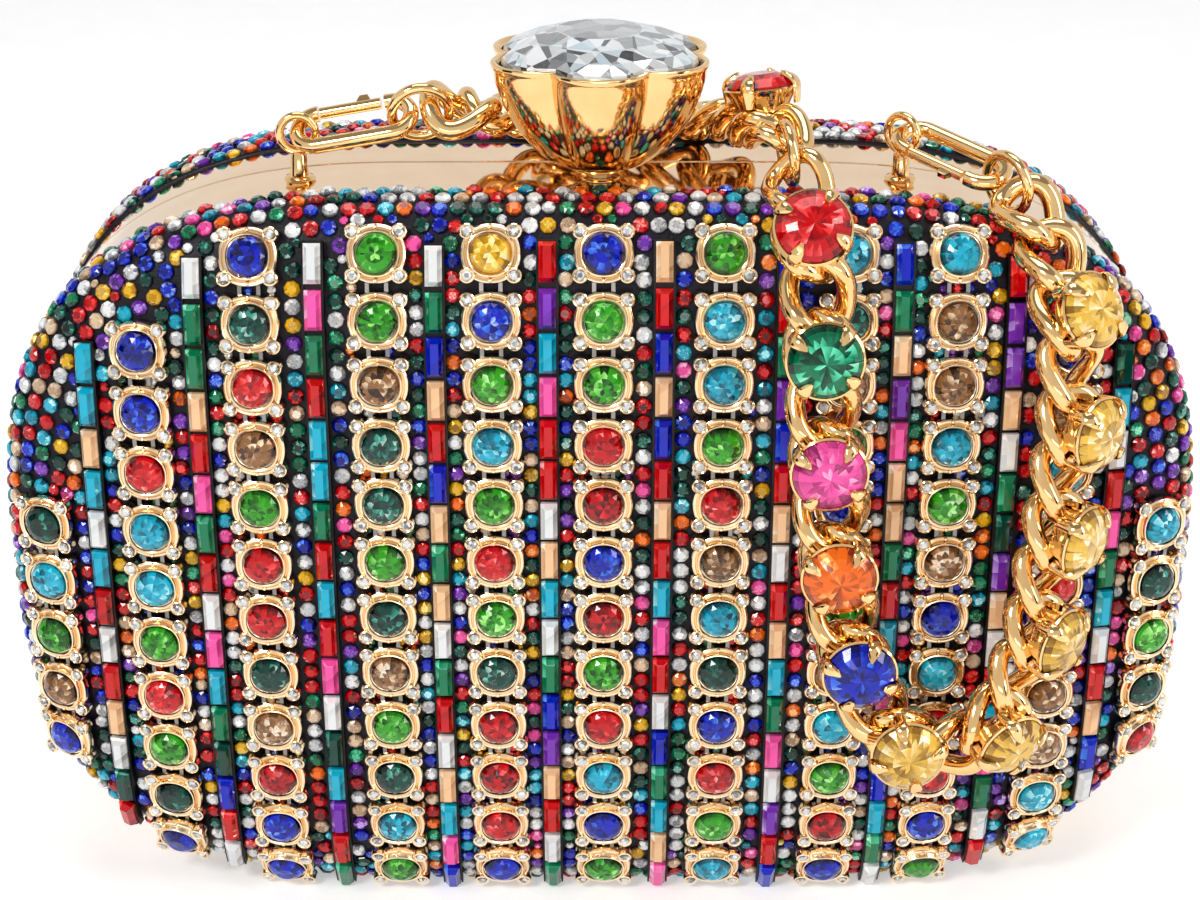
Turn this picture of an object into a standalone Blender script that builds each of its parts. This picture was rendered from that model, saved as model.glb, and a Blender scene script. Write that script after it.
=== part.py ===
"""A jewelled evening clutch: two hinged pillow shells on a gilt frame, a crystal knob clasp and a stone-set chain strap.

Metres, +Z up. The case stands on its long lower edge at z = 0, its front faces -Y, and the halves part at y = 0.
"""

import math

import bmesh
import bpy
from mathutils import Matrix, Vector

# Case: outline in X and Z, depth in Y
CASE_HALF_WIDTH = 0.091
CASE_HALF_HEIGHT = 0.058
CASE_FLAT_HALF = 0.025
CORNER_POWER = 2.9
PILLOW_POWER = 3.08
FRAME_DEPTH = 0.016
PILLOW_BULGE = 0.0148
SHELL_STRAIGHT = 0.0025
SHELL_WALL = 0.0015
PAVE_RELIEF = 0.0012
FRAME_INSET = 0.0016
FRAME_WALL = 0.0018
LIP_CLEARANCE = 0.0007
LIP_DEPTH = 0.003
LINING_WALL = 0.0008
LINING_RIM_SETBACK = 0.0006

# Fits
CLEARANCE = 0.0003
JEWEL_STANDOFF = 0.0005
CUT_OVERRUN = 0.002

# Jewelled links and baguettes on the front
LINK_WIDTH = 0.0092
LINK_HEIGHT = 0.0087
LINK_CORNER = 0.0022
LINK_THICKNESS = 0.0018
LINK_PITCH = 0.0095
STONE_TABLE_HALF = 0.0020
STONE_HEIGHT = 0.0013
BAGUETTE_WIDTH = 0.0026
BAGUETTE_THICKNESS = 0.0014
BAGUETTE_PITCH = 0.0066
COLUMN_END_MARGIN = 0.0056
COLUMN_X_SHARES = (-0.925, -0.745, -0.560, -0.356, -0.174, 0.006, 0.200, 0.398, 0.572, 0.764, 0.935)
COLUMN_TOP_SHARES = (0.575, 0.825, 0.942, 0.948, 0.948, 0.948, 0.948, 0.948, 0.942, 0.825, 0.575)
BAGUETTE_TOP_SHARES = (0.80, 0.915, 0.935, 0.935, 0.940, 0.940, 0.935, 0.935, 0.915, 0.80)

# Hinge along the bottom
HINGE_BARREL_RADIUS = 0.0013
HINGE_PIN_RADIUS = 0.0005
HINGE_HALF_LENGTH = 0.0245
HINGE_KNUCKLES = 5
LEAF_THICKNESS = 0.0008
LEAF_DEPTH = 0.010

# Clasp
KNOB_RIM_RADIUS = 0.0172
KNOB_HEIGHT = 0.0152
KNOB_WALL = 0.0011
KNOB_LOBES = 6
KNOB_LOBE_CENTRE_SHARE = 0.45
KNOB_FOOT_RADIUS = 0.0034
KNOB_STONE_RISE = 0.0058
# Cup profile: height and reach. Stone rings: reach, how lobed, and depth under or height over the rim
KNOB_PROFILE_SHARES = ((0.0, 0.0), (0.18, 0.36), (0.42, 0.60), (0.70, 0.86), (1.0, 1.0))
KNOB_STONE_PAVILION_SHARES = ((0.45, 0.4, 0.60), (0.93, 1.0, 0.16))
KNOB_STONE_CROWN_SHARES = ((0.97, 1.0, 0.0), (0.78, 0.6, 0.62), (0.47, 0.0, 1.0))
KNOB_TRAVEL = 0.0012
STEM_RADIUS = 0.0020
STEM_GUIDE_RADIUS = 0.0010
COLLAR_RADIUS = 0.0034
COLLAR_HEIGHT = 0.0010
STOP_RADIUS = 0.0030
STOP_HEIGHT = 0.0008
CATCH_DROP = 0.0048
CATCH_ARM_THICKNESS = 0.0008
CATCH_ARM_HALF_WIDTH = 0.0023
CATCH_REACH = 0.0052
CATCH_TIP_DEPTH = 0.0012
CATCH_TIP_HEIGHT = 0.0012
KEEPER_CLEARANCE = 0.0006
KEEPER_OFFSET = 0.0022
KEEPER_WALL = 0.0010
KEEPER_DEPTH = 0.0070
SPRING_RADIUS = 0.0018
SPRING_WIRE_RADIUS = 0.00025
SPRING_TURNS = 4
SPRING_LENGTH = 0.0042
BRACKET_HALF_WIDTH = 0.0055
BRACKET_HALF_DEPTH = 0.0035
BRACKET_WALL = 0.0008

# Strap ears
EAR_X = 0.0455
EAR_RING_RADIUS = 0.0027
EAR_WIRE_RADIUS = 0.00065
EAR_POST_RADIUS = 0.0013
EAR_POST_HEIGHT = 0.0048
EAR_COLLAR_RADIUS = 0.0021
EAR_COLLAR_HEIGHT = 0.0007
EAR_SHANK_RADIUS = 0.0009
EAR_RIVET_RADIUS = 0.0017
EAR_RIVET_HEIGHT = 0.0006

# Strap
CHAIN_WIRE_RADIUS = 0.00125
CHAIN_HALF_LENGTH = 0.0052
CHAIN_HALF_WIDTH = 0.0041
CHAIN_TWIST = 0.0018
CHAIN_CONTACT = 0.0004
RING_RADIUS = 0.0043
RING_SPAN = 0.0029
RING_WIRE_RADIUS = 0.0008
HOOK_LENGTH = 0.0176
HOOK_HALF_WIDTH = 0.0031
HOOK_AIM_SHARES = (0.60, 1.00)
HOOK_WIRE_RADIUS = 0.0009
GATE_WIRE_RADIUS = 0.00075
GATE_START = 0.0036
GATE_END = 0.0130
GATE_PIVOT_INSET = 0.0008
SETTING_BASE_RADIUS = 0.0041
SETTING_RIM_RADIUS = 0.0056
SETTING_HEIGHT = 0.0037
SETTING_SOLDER = 0.0010
STRAP_STONE_RADIUS = 0.0053
STRAP_STONE_TABLE_RADIUS = 0.0030
STRAP_STONE_HEIGHT = 0.0024
# Strap route: x as a share of the case's half width, y of its half depth, z of its height
STRAP_ROUTE_SHARES = (
    (-0.322, -0.276, 1.080),
    (-0.225, -0.162, 1.079),
    (-0.140, 0.155, 1.047),
    (-0.040, 0.330, 1.027),
    (0.090, 0.330, 1.027),
    (0.213, 0.180, 1.040),
    (0.268, -0.200, 1.062),
    (0.290, -0.560, 1.070),
    (0.316, -0.930, 1.022),
    (0.338, -1.160, 0.935),
    (0.349, -1.250, 0.825),
    (0.360, -1.260, 0.712),
    (0.382, -1.275, 0.575),
    (0.415, -1.270, 0.445),
    (0.480, -1.270, 0.332),
    (0.568, -1.265, 0.293),
    (0.655, -1.250, 0.335),
    (0.703, -1.235, 0.435),
    (0.722, -1.225, 0.545),
    (0.738, -1.215, 0.675),
    (0.744, -1.190, 0.790),
    (0.732, -1.150, 0.887),
    (0.702, -0.900, 0.972),
    (0.632, -0.560, 1.030),
)
# The side that the links' broad faces look to, along that route
STRAP_FACE_DIRECTIONS = (
    (-0.20, -0.55, 0.80),
    (-0.05, -0.30, 0.95),
    (0.00, 0.15, 1.00),
    (0.00, 0.20, 1.00),
    (0.05, 0.25, 0.97),
    (0.25, 0.15, 0.95),
    (0.12, -0.60, 0.78),
    (0.06, -0.85, 0.52),
    (0.05, -0.95, 0.32),
    (0.05, -1.00, 0.20),
    (0.00, -1.00, 0.10),
    (0.00, -1.00, 0.05),
    (0.00, -1.00, 0.00),
    (0.05, -1.00, -0.05),
    (0.20, -0.97, -0.15),
    (0.40, -0.90, -0.15),
    (0.58, -0.80, -0.10),
    (0.70, -0.70, 0.00),
    (0.74, -0.66, 0.08),
    (0.72, -0.66, 0.15),
    (0.64, -0.70, 0.28),
    (0.50, -0.75, 0.42),
    (0.40, -0.75, 0.53),
    (0.30, -0.70, 0.65),
)
UPPER_END_SHARE = 0.300
STRAP_STONE_ORDER = "RRGPOBTTTTTT"
STRAP_STONE_NAMES = {"R": "ruby", "G": "emerald", "P": "pink", "O": "orange", "B": "sapphire", "T": "topaz"}

# Mesh steps
OUTLINE_STEPS = 8
PAVE_RING_STEPS = 84
PAVE_RING_SHARES = (0.970, 0.905, 0.840, 0.775, 0.710, 0.645, 0.580, 0.515, 0.450, 0.385, 0.320, 0.255, 0.190)
LINING_STEPS = 5
ROUND_SIDES = 12
WIRE_SIDES = 4
CURB_STEPS = 10
RING_STEPS = 12
PATH_SAMPLES = 160
BISECTIONS = 16

CASE_HEIGHT = 2 * CASE_HALF_HEIGHT
CASE_HALF_DEPTH = FRAME_DEPTH + PILLOW_BULGE
HINGE_Z = FRAME_INSET
FRAME_INNER_INSET = FRAME_INSET + FRAME_WALL
LEAF_INSET = FRAME_INNER_INSET + CLEARANCE
LINING_INSET = LEAF_INSET + LEAF_THICKNESS + CLEARANCE
FRAME_TOP = CASE_HEIGHT - FRAME_INSET
FRAME_TOP_INNER = CASE_HEIGHT - FRAME_INNER_INSET
KNOB_Y = -FRAME_DEPTH / 2
KNOB_FOOT_Z = FRAME_TOP + CLEARANCE + COLLAR_HEIGHT + CLEARANCE + KNOB_TRAVEL
KNOB_RIM_Z = KNOB_FOOT_Z + KNOB_HEIGHT
CATCH_ARM_Z = FRAME_TOP_INNER - CATCH_DROP - CATCH_ARM_THICKNESS
BRACKET_FLOOR_TOP = CATCH_ARM_Z - SPRING_LENGTH - 2 * CLEARANCE

GOLD = (0.83, 0.56, 0.22)
PALE_GOLD = (0.90, 0.70, 0.42)
COLOURS = {
    "ruby": (0.62, 0.01, 0.02), "emerald": (0.0, 0.17, 0.09), "pink": (0.80, 0.12, 0.45),
    "orange": (0.85, 0.20, 0.01), "sapphire": (0.01, 0.04, 0.55), "topaz": (0.80, 0.52, 0.12),
    "clear": (0.80, 0.84, 0.86),
}


def clear_scene():
    for item in list(bpy.data.objects):
        bpy.data.objects.remove(item, do_unlink=True)


def make_material(name, colour, roughness, metallic):
    material = bpy.data.materials.new(name)
    material.use_nodes = True
    shader = material.node_tree.nodes["Principled BSDF"]
    shader.inputs["Base Color"].default_value = (*colour, 1.0)
    shader.inputs["Roughness"].default_value = roughness
    shader.inputs["Metallic"].default_value = metallic
    return material


def finish_object(name, mesh_builder, colour, roughness=0.2, metallic=1.0, smooth=True):
    bmesh.ops.recalc_face_normals(mesh_builder, faces=mesh_builder.faces)
    mesh = bpy.data.meshes.new(name)
    mesh_builder.to_mesh(mesh)
    mesh_builder.free()
    item = bpy.data.objects.new(name, mesh)
    bpy.context.scene.collection.objects.link(item)
    mesh.materials.append(make_material(name, colour, roughness, metallic))
    if smooth:
        mesh.shade_smooth()
        mesh.set_sharp_from_angle(angle=math.radians(35))
    return item


def make_empty(name, place):
    empty = bpy.data.objects.new(name, None)
    empty.location = place
    bpy.context.scene.collection.objects.link(empty)
    return empty


def carry(empty, *items):
    """Parents the items to the empty and leaves them where they are."""
    for item in items:
        item.parent = empty
        item.matrix_parent_inverse = Matrix.Translation(empty.location).inverted()


def move_origin(item, place):
    item.data.transform(Matrix.Translation(-place))
    item.location = place


def cut_or_join(item, tool, operation):
    modifier = item.modifiers.new(operation.lower(), "BOOLEAN")
    modifier.object = tool
    modifier.operation = operation
    modifier.solver = "EXACT"
    tool.hide_render = True
    tool.display_type = "WIRE"


# Outline and pillow surface


def outline(half_width, half_height, steps):
    """Points (x, z) round the case's outline about its centre, with true flats at the top and bottom."""
    quarter = []
    for step in range(steps + 1):
        angle = math.pi / 2 * step / steps
        x = CASE_FLAT_HALF + (half_width - CASE_FLAT_HALF) * math.cos(angle) ** (2 / CORNER_POWER)
        z = half_height * math.sin(angle) ** (2 / CORNER_POWER)
        quarter.append((x, z))
    quarter[-1] = (CASE_FLAT_HALF, half_height)
    right_top = quarter
    left_top = [(-x, z) for x, z in reversed(quarter)]
    left_bottom = [(-x, -z) for x, z in quarter[1:]]
    right_bottom = [(x, -z) for x, z in reversed(quarter[1:])]
    return right_top + left_top + left_bottom + right_bottom


def case_ring(inset, share, depth, steps, side):
    """One ring of the case: the inset outline scaled by share, at a depth from the parting plane."""
    points = outline(CASE_HALF_WIDTH - inset, CASE_HALF_HEIGHT - inset, steps)
    return [Vector((x * share, side * depth, CASE_HALF_HEIGHT + z * share)) for x, z in points]


def pillow_rings(inset, angles, steps, side, rim_depth):
    rings = [case_ring(inset, 1.0, rim_depth, steps, side)]
    straight_end = FRAME_DEPTH + SHELL_STRAIGHT
    rings.append(case_ring(inset, 1.0, straight_end, steps, side))
    for angle in angles:
        share = math.cos(angle) ** (2 / PILLOW_POWER)
        rise = (PILLOW_BULGE - SHELL_STRAIGHT - inset) * math.sin(angle) ** (2 / PILLOW_POWER)
        rings.append(case_ring(inset, share, straight_end + rise, steps, side))
    return rings


def outline_half_height(x):
    beyond = max(0.0, abs(x) - CASE_FLAT_HALF) / (CASE_HALF_WIDTH - CASE_FLAT_HALF)
    return CASE_HALF_HEIGHT * max(0.0, 1 - beyond ** CORNER_POWER) ** (1 / CORNER_POWER)


def pillow_share(x, z):
    """Scale of the outline that passes through (x, z), both measured from the case's centre."""
    low, high = 0.0, 1.0
    for _ in range(2 * BISECTIONS):
        middle = (low + high) / 2
        beyond = max(0.0, abs(x) / middle - CASE_FLAT_HALF) / (CASE_HALF_WIDTH - CASE_FLAT_HALF)
        if beyond ** CORNER_POWER + (abs(z) / middle / CASE_HALF_HEIGHT) ** CORNER_POWER > 1:
            low = middle
        else:
            high = middle
    return high


def pillow_point(x, z):
    """Point on the front pillow's outer face, z measured from the ground."""
    share = pillow_share(x, z - CASE_HALF_HEIGHT)
    rise = (PILLOW_BULGE - SHELL_STRAIGHT) * max(0.0, 1 - share ** PILLOW_POWER) ** (1 / PILLOW_POWER)
    return Vector((x, -FRAME_DEPTH - SHELL_STRAIGHT - rise, z))


def pillow_column(x):
    """Points down the front face in the plane of one x, and the arc length at each."""
    reach = outline_half_height(x)
    points = []
    for step in range(PATH_SAMPLES + 1):
        angle = math.pi / 2 - math.pi * step / PATH_SAMPLES
        points.append(pillow_point(x, CASE_HALF_HEIGHT + reach * math.sin(angle)))
    lengths = [0.0]
    for first, second in zip(points, points[1:]):
        lengths.append(lengths[-1] + (second - first).length)
    return points, lengths


def point_at(points, lengths, wanted):
    """Point and direction at an arc length along a list of points."""
    for index in range(1, len(points)):
        if lengths[index] >= wanted or index == len(points) - 1:
            span = lengths[index] - lengths[index - 1]
            part = (wanted - lengths[index - 1]) / span
            return points[index - 1].lerp(points[index], part), (points[index] - points[index - 1]).normalized()


def seats_down_column(x, top_share, pitch):
    """Frames (centre, across, down, out) of the pieces set down one column of the front face."""
    points, lengths = pillow_column(x)
    top = CASE_HALF_HEIGHT + (2 * top_share - 1) * CASE_HALF_HEIGHT
    start = next(length for point, length in zip(points, lengths) if point.z <= top)
    seats = []
    place = start
    while place <= lengths[-1] - COLUMN_END_MARGIN:
        centre, down = point_at(points, lengths, place)
        nudge = CASE_HALF_WIDTH / PATH_SAMPLES
        left = pillow_point(x - nudge, centre.z)
        right = pillow_point(x + nudge, centre.z)
        across = (right - left).normalized()
        out = down.cross(across).normalized()
        if out.y > 0:
            out.negate()
        across = out.cross(down).normalized()
        seats.append((centre, across, down, out))
        place += pitch
    return seats


# Mesh helpers


def add_ring(builder, points):
    return [builder.verts.new(point) for point in points]


def bridge(builder, first, second):
    count = len(first)
    for index in range(count):
        after = (index + 1) % count
        builder.faces.new((first[index], first[after], second[after], second[index]))


def add_loft(builder, rings, capped=True):
    """A closed body from rings of equal count: capped at both ends, or joined round into a tube ring."""
    made = [add_ring(builder, ring) for ring in rings]
    for first, second in zip(made, made[1:]):
        bridge(builder, first, second)
    if capped:
        builder.faces.new(made[0])
        builder.faces.new(made[-1])
    else:
        bridge(builder, made[-1], made[0])


def add_prism(builder, centre, across, down, out, shape, base, top, top_scale=1.0):
    """A prism of a flat shape (pairs along across and down), from base to top along out."""
    low = [centre + across * a + down * d + out * base for a, d in shape]
    high = [centre + across * a * top_scale + down * d * top_scale + out * top for a, d in shape]
    add_loft(builder, [low, high])


def regular_shape(radius, sides, turn=0.0):
    angles = [2 * math.pi * (index + turn) / sides for index in range(sides)]
    return [(radius * math.cos(angle), radius * math.sin(angle)) for angle in angles]


def box_shape(half_width, half_height):
    return [(-half_width, -half_height), (half_width, -half_height), (half_width, half_height), (-half_width, half_height)]


def add_sweep(builder, points, radius, sides, up, closed):
    """A round wire along points. up is never along the wire."""
    count = len(points)
    rings = []
    for index, point in enumerate(points):
        before = points[index - 1] if closed or index > 0 else point
        after = points[(index + 1) % count] if closed or index < count - 1 else point
        along = (after - before).normalized()
        side = along.cross(up).normalized()
        rise = side.cross(along)
        ring = []
        for step in range(sides):
            angle = 2 * math.pi * step / sides
            ring.append(point + radius * (side * math.cos(angle) + rise * math.sin(angle)))
        rings.append(ring)
    add_loft(builder, rings, capped=not closed)


def add_turned(builder, centre, profile, sides, turn=0.0):
    """A body turned about a vertical axis. profile holds (radius, height) pairs, from one cap to the other."""
    rings = []
    for radius, height in profile:
        ring = [centre + Vector((x, y, height)) for x, y in regular_shape(radius, sides, turn)]
        rings.append(ring)
    add_loft(builder, rings)


def add_box(builder, low, high):
    corners = [(low[0], low[1]), (high[0], low[1]), (high[0], high[1]), (low[0], high[1])]
    add_loft(builder, [[Vector((x, y, z)) for x, y in corners] for z in (low[2], high[2])])


def make_box_tool(name, low, high):
    builder = bmesh.new()
    add_box(builder, low, high)
    return finish_object(name, builder, GOLD, smooth=False)


def make_rod_tool(name, centre, radius, low, high):
    builder = bmesh.new()
    add_turned(builder, Vector((centre[0], centre[1], 0.0)), [(radius, low), (radius, high)], ROUND_SIDES)
    return finish_object(name, builder, GOLD, smooth=False)


def make_bore_tool(name, radius, half_length):
    builder = bmesh.new()
    centre = Vector((0.0, 0.0, HINGE_Z))
    add_prism(builder, centre, Vector((0, 1, 0)), Vector((0, 0, 1)), Vector((1, 0, 0)),
              regular_shape(radius, ROUND_SIDES), -half_length, half_length)
    return finish_object(name, builder, GOLD, smooth=False)


# Case


def make_shell(name, side):
    angles = [math.radians(degrees) for degrees in (16, 34, 52, 68, 82)]
    inner_angles = [math.radians(degrees) for degrees in (22, 50, 76)]
    rim = FRAME_DEPTH + CLEARANCE
    outer = pillow_rings(0.0, angles, OUTLINE_STEPS, side, rim)
    inner = pillow_rings(SHELL_WALL, inner_angles, OUTLINE_STEPS, side, rim)
    builder = bmesh.new()
    add_loft(builder, outer[::-1] + inner)
    return finish_object(name, builder, (0.03, 0.03, 0.05), 0.5, 0.2)


def even_ring(ring, count):
    """The same closed ring with its points spaced evenly."""
    points = ring + [ring[0]]
    lengths = [0.0]
    for first, second in zip(points, points[1:]):
        lengths.append(lengths[-1] + (second - first).length)
    return [point_at(points, lengths, lengths[-1] * index / count)[0] for index in range(count)]


def make_pave_shell(name, side):
    """A shell whose outer face rises and falls from point to point, as the stones that cover it do."""
    rim = FRAME_DEPTH + CLEARANCE
    angles = [math.acos(share ** (PILLOW_POWER / 2)) for share in PAVE_RING_SHARES]
    peaks = pillow_rings(0.0, angles, LINING_STEPS * OUTLINE_STEPS, side, rim)
    valleys = pillow_rings(PAVE_RELIEF, angles, LINING_STEPS * OUTLINE_STEPS, side, rim)
    outer = []
    for row, (high, low) in enumerate(zip(peaks, valleys)):
        high = even_ring(high, PAVE_RING_STEPS)
        low = even_ring(low, PAVE_RING_STEPS)
        studded = 1 < row < len(peaks) - 1
        outer.append([low[i] if studded and (i + row) % 2 else high[i] for i in range(PAVE_RING_STEPS)])
    inner_angles = [math.radians(degrees) for degrees in (22, 50, 76)]
    straight = pillow_rings(SHELL_WALL, inner_angles, LINING_STEPS * OUTLINE_STEPS, side, rim)[:2]
    bowl = pillow_rings(SHELL_WALL + PAVE_RELIEF, inner_angles, LINING_STEPS * OUTLINE_STEPS, side, rim)[2:]
    past_lip = case_ring(SHELL_WALL, 1.0, FRAME_DEPTH + LIP_DEPTH + CLEARANCE, LINING_STEPS * OUTLINE_STEPS, side)
    inner = [even_ring(ring, PAVE_RING_STEPS) for ring in straight + [past_lip] + bowl]
    builder = bmesh.new()
    add_loft(builder, outer[::-1] + inner)
    return finish_object(name, builder, (0.03, 0.03, 0.05), 0.5, 0.2)


def make_frame(name, side):
    half_gap = CLEARANCE / 2
    lip_inset = SHELL_WALL + LIP_CLEARANCE
    profile = (
        (FRAME_INSET, half_gap),
        (FRAME_INSET, FRAME_DEPTH),
        (lip_inset, FRAME_DEPTH),
        (lip_inset, FRAME_DEPTH + LIP_DEPTH),
        (FRAME_INNER_INSET, FRAME_DEPTH + LIP_DEPTH),
        (FRAME_INNER_INSET, half_gap),
    )
    builder = bmesh.new()
    rings = [case_ring(inset, 1.0, depth, OUTLINE_STEPS, side) for inset, depth in profile]
    add_loft(builder, rings, capped=False)
    frame = finish_object(name, builder, PALE_GOLD, 0.12, 1.0)
    notch_half = HINGE_BARREL_RADIUS + CLEARANCE
    notch = make_box_tool(
        name + "_notch_cutter",
        (-HINGE_HALF_LENGTH - CLEARANCE, -notch_half, -CUT_OVERRUN),
        (HINGE_HALF_LENGTH + CLEARANCE, notch_half, FRAME_INNER_INSET + CUT_OVERRUN),
    )
    cut_or_join(frame, notch, "DIFFERENCE")
    return frame


def make_lining(name, side):
    angles = [math.radians(degrees) for degrees in (25, 50, 75)]
    outer = pillow_rings(LINING_INSET, angles, LINING_STEPS, side, LINING_RIM_SETBACK)
    inner = pillow_rings(LINING_INSET + LINING_WALL, angles, LINING_STEPS, side, LINING_RIM_SETBACK)
    builder = bmesh.new()
    add_loft(builder, outer[::-1] + inner)
    return finish_object(name, builder, (0.03, 0.02, 0.03), 0.8, 0.0)


def frame_top_at(x):
    """Height of the frame's outer face at a place along the top."""
    half_width = CASE_HALF_WIDTH - FRAME_INSET
    beyond = max(0.0, abs(x) - CASE_FLAT_HALF) / (half_width - CASE_FLAT_HALF)
    rise = (1 - beyond ** CORNER_POWER) ** (1 / CORNER_POWER)
    return CASE_HALF_HEIGHT + (CASE_HALF_HEIGHT - FRAME_INSET) * rise


def drill_frame(frame):
    """Holes in the front frame's top for the clasp stem and the two ears."""
    places = ((0.0, STEM_RADIUS, "stem"), (-EAR_X, EAR_SHANK_RADIUS, "left_ear"), (EAR_X, EAR_SHANK_RADIUS, "right_ear"))
    for x, radius, name in places:
        low = frame_top_at(x) - FRAME_WALL - CUT_OVERRUN
        tool = make_rod_tool(name + "_hole_cutter", (x, KNOB_Y), radius + CLEARANCE, low, FRAME_TOP + CUT_OVERRUN)
        cut_or_join(frame, tool, "DIFFERENCE")


def make_case():
    parts = {}
    for half, side in (("front", -1), ("back", 1)):
        shell_maker = make_pave_shell if half == "back" else make_shell
        parts[half + "_shell"] = shell_maker(half + "_shell", side)
        parts[half + "_frame"] = make_frame(half + "_frame", side)
        parts[half + "_lining"] = make_lining(half + "_lining", side)
    drill_frame(parts["front_frame"])
    pocket_low = BRACKET_FLOOR_TOP - BRACKET_WALL - 2 * KNOB_TRAVEL
    pocket_half = BRACKET_HALF_WIDTH + BRACKET_WALL + 2 * CLEARANCE
    pocket_depth = -KNOB_Y + BRACKET_HALF_DEPTH + BRACKET_WALL + 2 * CLEARANCE
    front_pocket = make_box_tool("front_pocket_cutter", (-pocket_half, -pocket_depth, pocket_low),
                                 (pocket_half, CUT_OVERRUN, CASE_HEIGHT))
    cut_or_join(parts["front_lining"], front_pocket, "DIFFERENCE")
    back_pocket = make_box_tool("back_pocket_cutter", (-pocket_half, -CUT_OVERRUN, pocket_low),
                                (pocket_half, KEEPER_OFFSET + KEEPER_DEPTH + CLEARANCE, CASE_HEIGHT))
    cut_or_join(parts["back_lining"], back_pocket, "DIFFERENCE")
    return parts


# Hinge


def make_hinge_leaf(name, side, knuckles):
    """A leaf inside the frame, joined through the notch to its barrels on the hinge line."""
    web_low, web_high = sorted((side * CLEARANCE, side * HINGE_BARREL_RADIUS))
    plate_low, plate_high = sorted((side * CLEARANCE, side * LEAF_DEPTH))
    step = 2 * HINGE_HALF_LENGTH / HINGE_KNUCKLES
    builder = bmesh.new()
    add_box(builder, (-HINGE_HALF_LENGTH, plate_low, LEAF_INSET),
            (HINGE_HALF_LENGTH, plate_high, LEAF_INSET + LEAF_THICKNESS))
    leaf = finish_object(name, builder, PALE_GOLD, 0.3, 1.0, smooth=False)
    for index in knuckles:
        start = -HINGE_HALF_LENGTH + index * step + CLEARANCE / 2
        end = start + step - CLEARANCE
        web = make_box_tool(f"{name}_web_{index}", (start, web_low, HINGE_Z), (end, web_high, LEAF_INSET + LEAF_THICKNESS / 2))
        cut_or_join(leaf, web, "UNION")
        barrel = bmesh.new()
        add_prism(barrel, Vector((0, 0, HINGE_Z)), Vector((0, 1, 0)), Vector((0, 0, 1)), Vector((1, 0, 0)),
                  regular_shape(HINGE_BARREL_RADIUS, ROUND_SIDES, 0.5), start, end)
        cut_or_join(leaf, finish_object(f"{name}_barrel_{index}", barrel, PALE_GOLD), "UNION")
    bore = make_bore_tool(name + "_bore_cutter", HINGE_PIN_RADIUS + CLEARANCE, HINGE_HALF_LENGTH + CUT_OVERRUN)
    cut_or_join(leaf, bore, "DIFFERENCE")
    return leaf


def make_hinge():
    front = make_hinge_leaf("front_hinge_leaf", -1, (0, 2, 4))
    back = make_hinge_leaf("back_hinge_leaf", 1, (1, 3))
    builder = bmesh.new()
    add_prism(builder, Vector((0, 0, HINGE_Z)), Vector((0, 1, 0)), Vector((0, 0, 1)), Vector((1, 0, 0)),
              regular_shape(HINGE_PIN_RADIUS, ROUND_SIDES), -HINGE_HALF_LENGTH, HINGE_HALF_LENGTH)
    pin = finish_object("hinge_pin", builder, GOLD, 0.3, 1.0)
    return front, back, pin


# Jewelled links and baguettes


def plate_corners():
    """The link plate's eight corners (across, down). Edge 0 to 1 is its upper end and edge 4 to 5 its lower end."""
    wide = LINK_WIDTH / 2
    tall = LINK_HEIGHT / 2
    return (
        (LINK_CORNER - wide, -tall), (wide - LINK_CORNER, -tall), (wide, LINK_CORNER - tall), (wide, tall - LINK_CORNER),
        (wide - LINK_CORNER, tall), (LINK_CORNER - wide, tall), (-wide, tall - LINK_CORNER), (-wide, LINK_CORNER - tall),
    )


def make_link_column(name, x, top_share):
    """Link plates down one column, each with its raised stone, coupled end to end into one strip."""
    builder = bmesh.new()
    corners = plate_corners()
    plate_top = JEWEL_STANDOFF + LINK_THICKNESS
    last = None
    seats = seats_down_column(x, top_share, LINK_PITCH)
    for number, (centre, across, down, out) in enumerate(seats):
        low = add_ring(builder, [centre + across * a + down * d + out * JEWEL_STANDOFF for a, d in corners])
        high = add_ring(builder, [centre + across * a + down * d + out * plate_top for a, d in corners])
        crown = add_ring(builder, [centre + across * a + down * d + out * (plate_top + STONE_HEIGHT)
                                   for a, d in box_shape(STONE_TABLE_HALF, STONE_TABLE_HALF)])
        builder.faces.new(low)
        builder.faces.new(crown)
        for index, corner in enumerate(crown):
            next_corner = crown[(index + 1) % 4]
            builder.faces.new((high[2 * index], high[2 * index + 1], next_corner, corner))
            builder.faces.new((high[2 * index + 1], high[(2 * index + 2) % 8], next_corner))
        for index in range(8):
            joined_above = index == 0 and last
            joined_below = index == 4 and number < len(seats) - 1
            if not joined_above and not joined_below:
                after = (index + 1) % 8
                builder.faces.new((low[index], low[after], high[after], high[index]))
        if last:
            upper = (last[0][5], last[0][4], last[1][4], last[1][5])
            lower = (low[0], low[1], high[1], high[0])
            bridge(builder, upper, lower)
        last = (low, high)
    return finish_object(name, builder, PALE_GOLD, 0.15, 1.0, smooth=False)


def make_baguette_channel(name, x, top_share):
    """One strip of baguettes in its channel, down the front between two link columns."""
    rings = []
    for centre, across, down, out in seats_down_column(x, top_share, BAGUETTE_PITCH):
        shape = box_shape(BAGUETTE_WIDTH / 2, BAGUETTE_THICKNESS / 2)
        middle = centre + out * (JEWEL_STANDOFF + BAGUETTE_THICKNESS / 2)
        rings.append([middle + across * a + out * o for a, o in shape])
    builder = bmesh.new()
    add_loft(builder, rings)
    return finish_object(name, builder, COLOURS["clear"], 0.1, 0.0, smooth=False)


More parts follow.
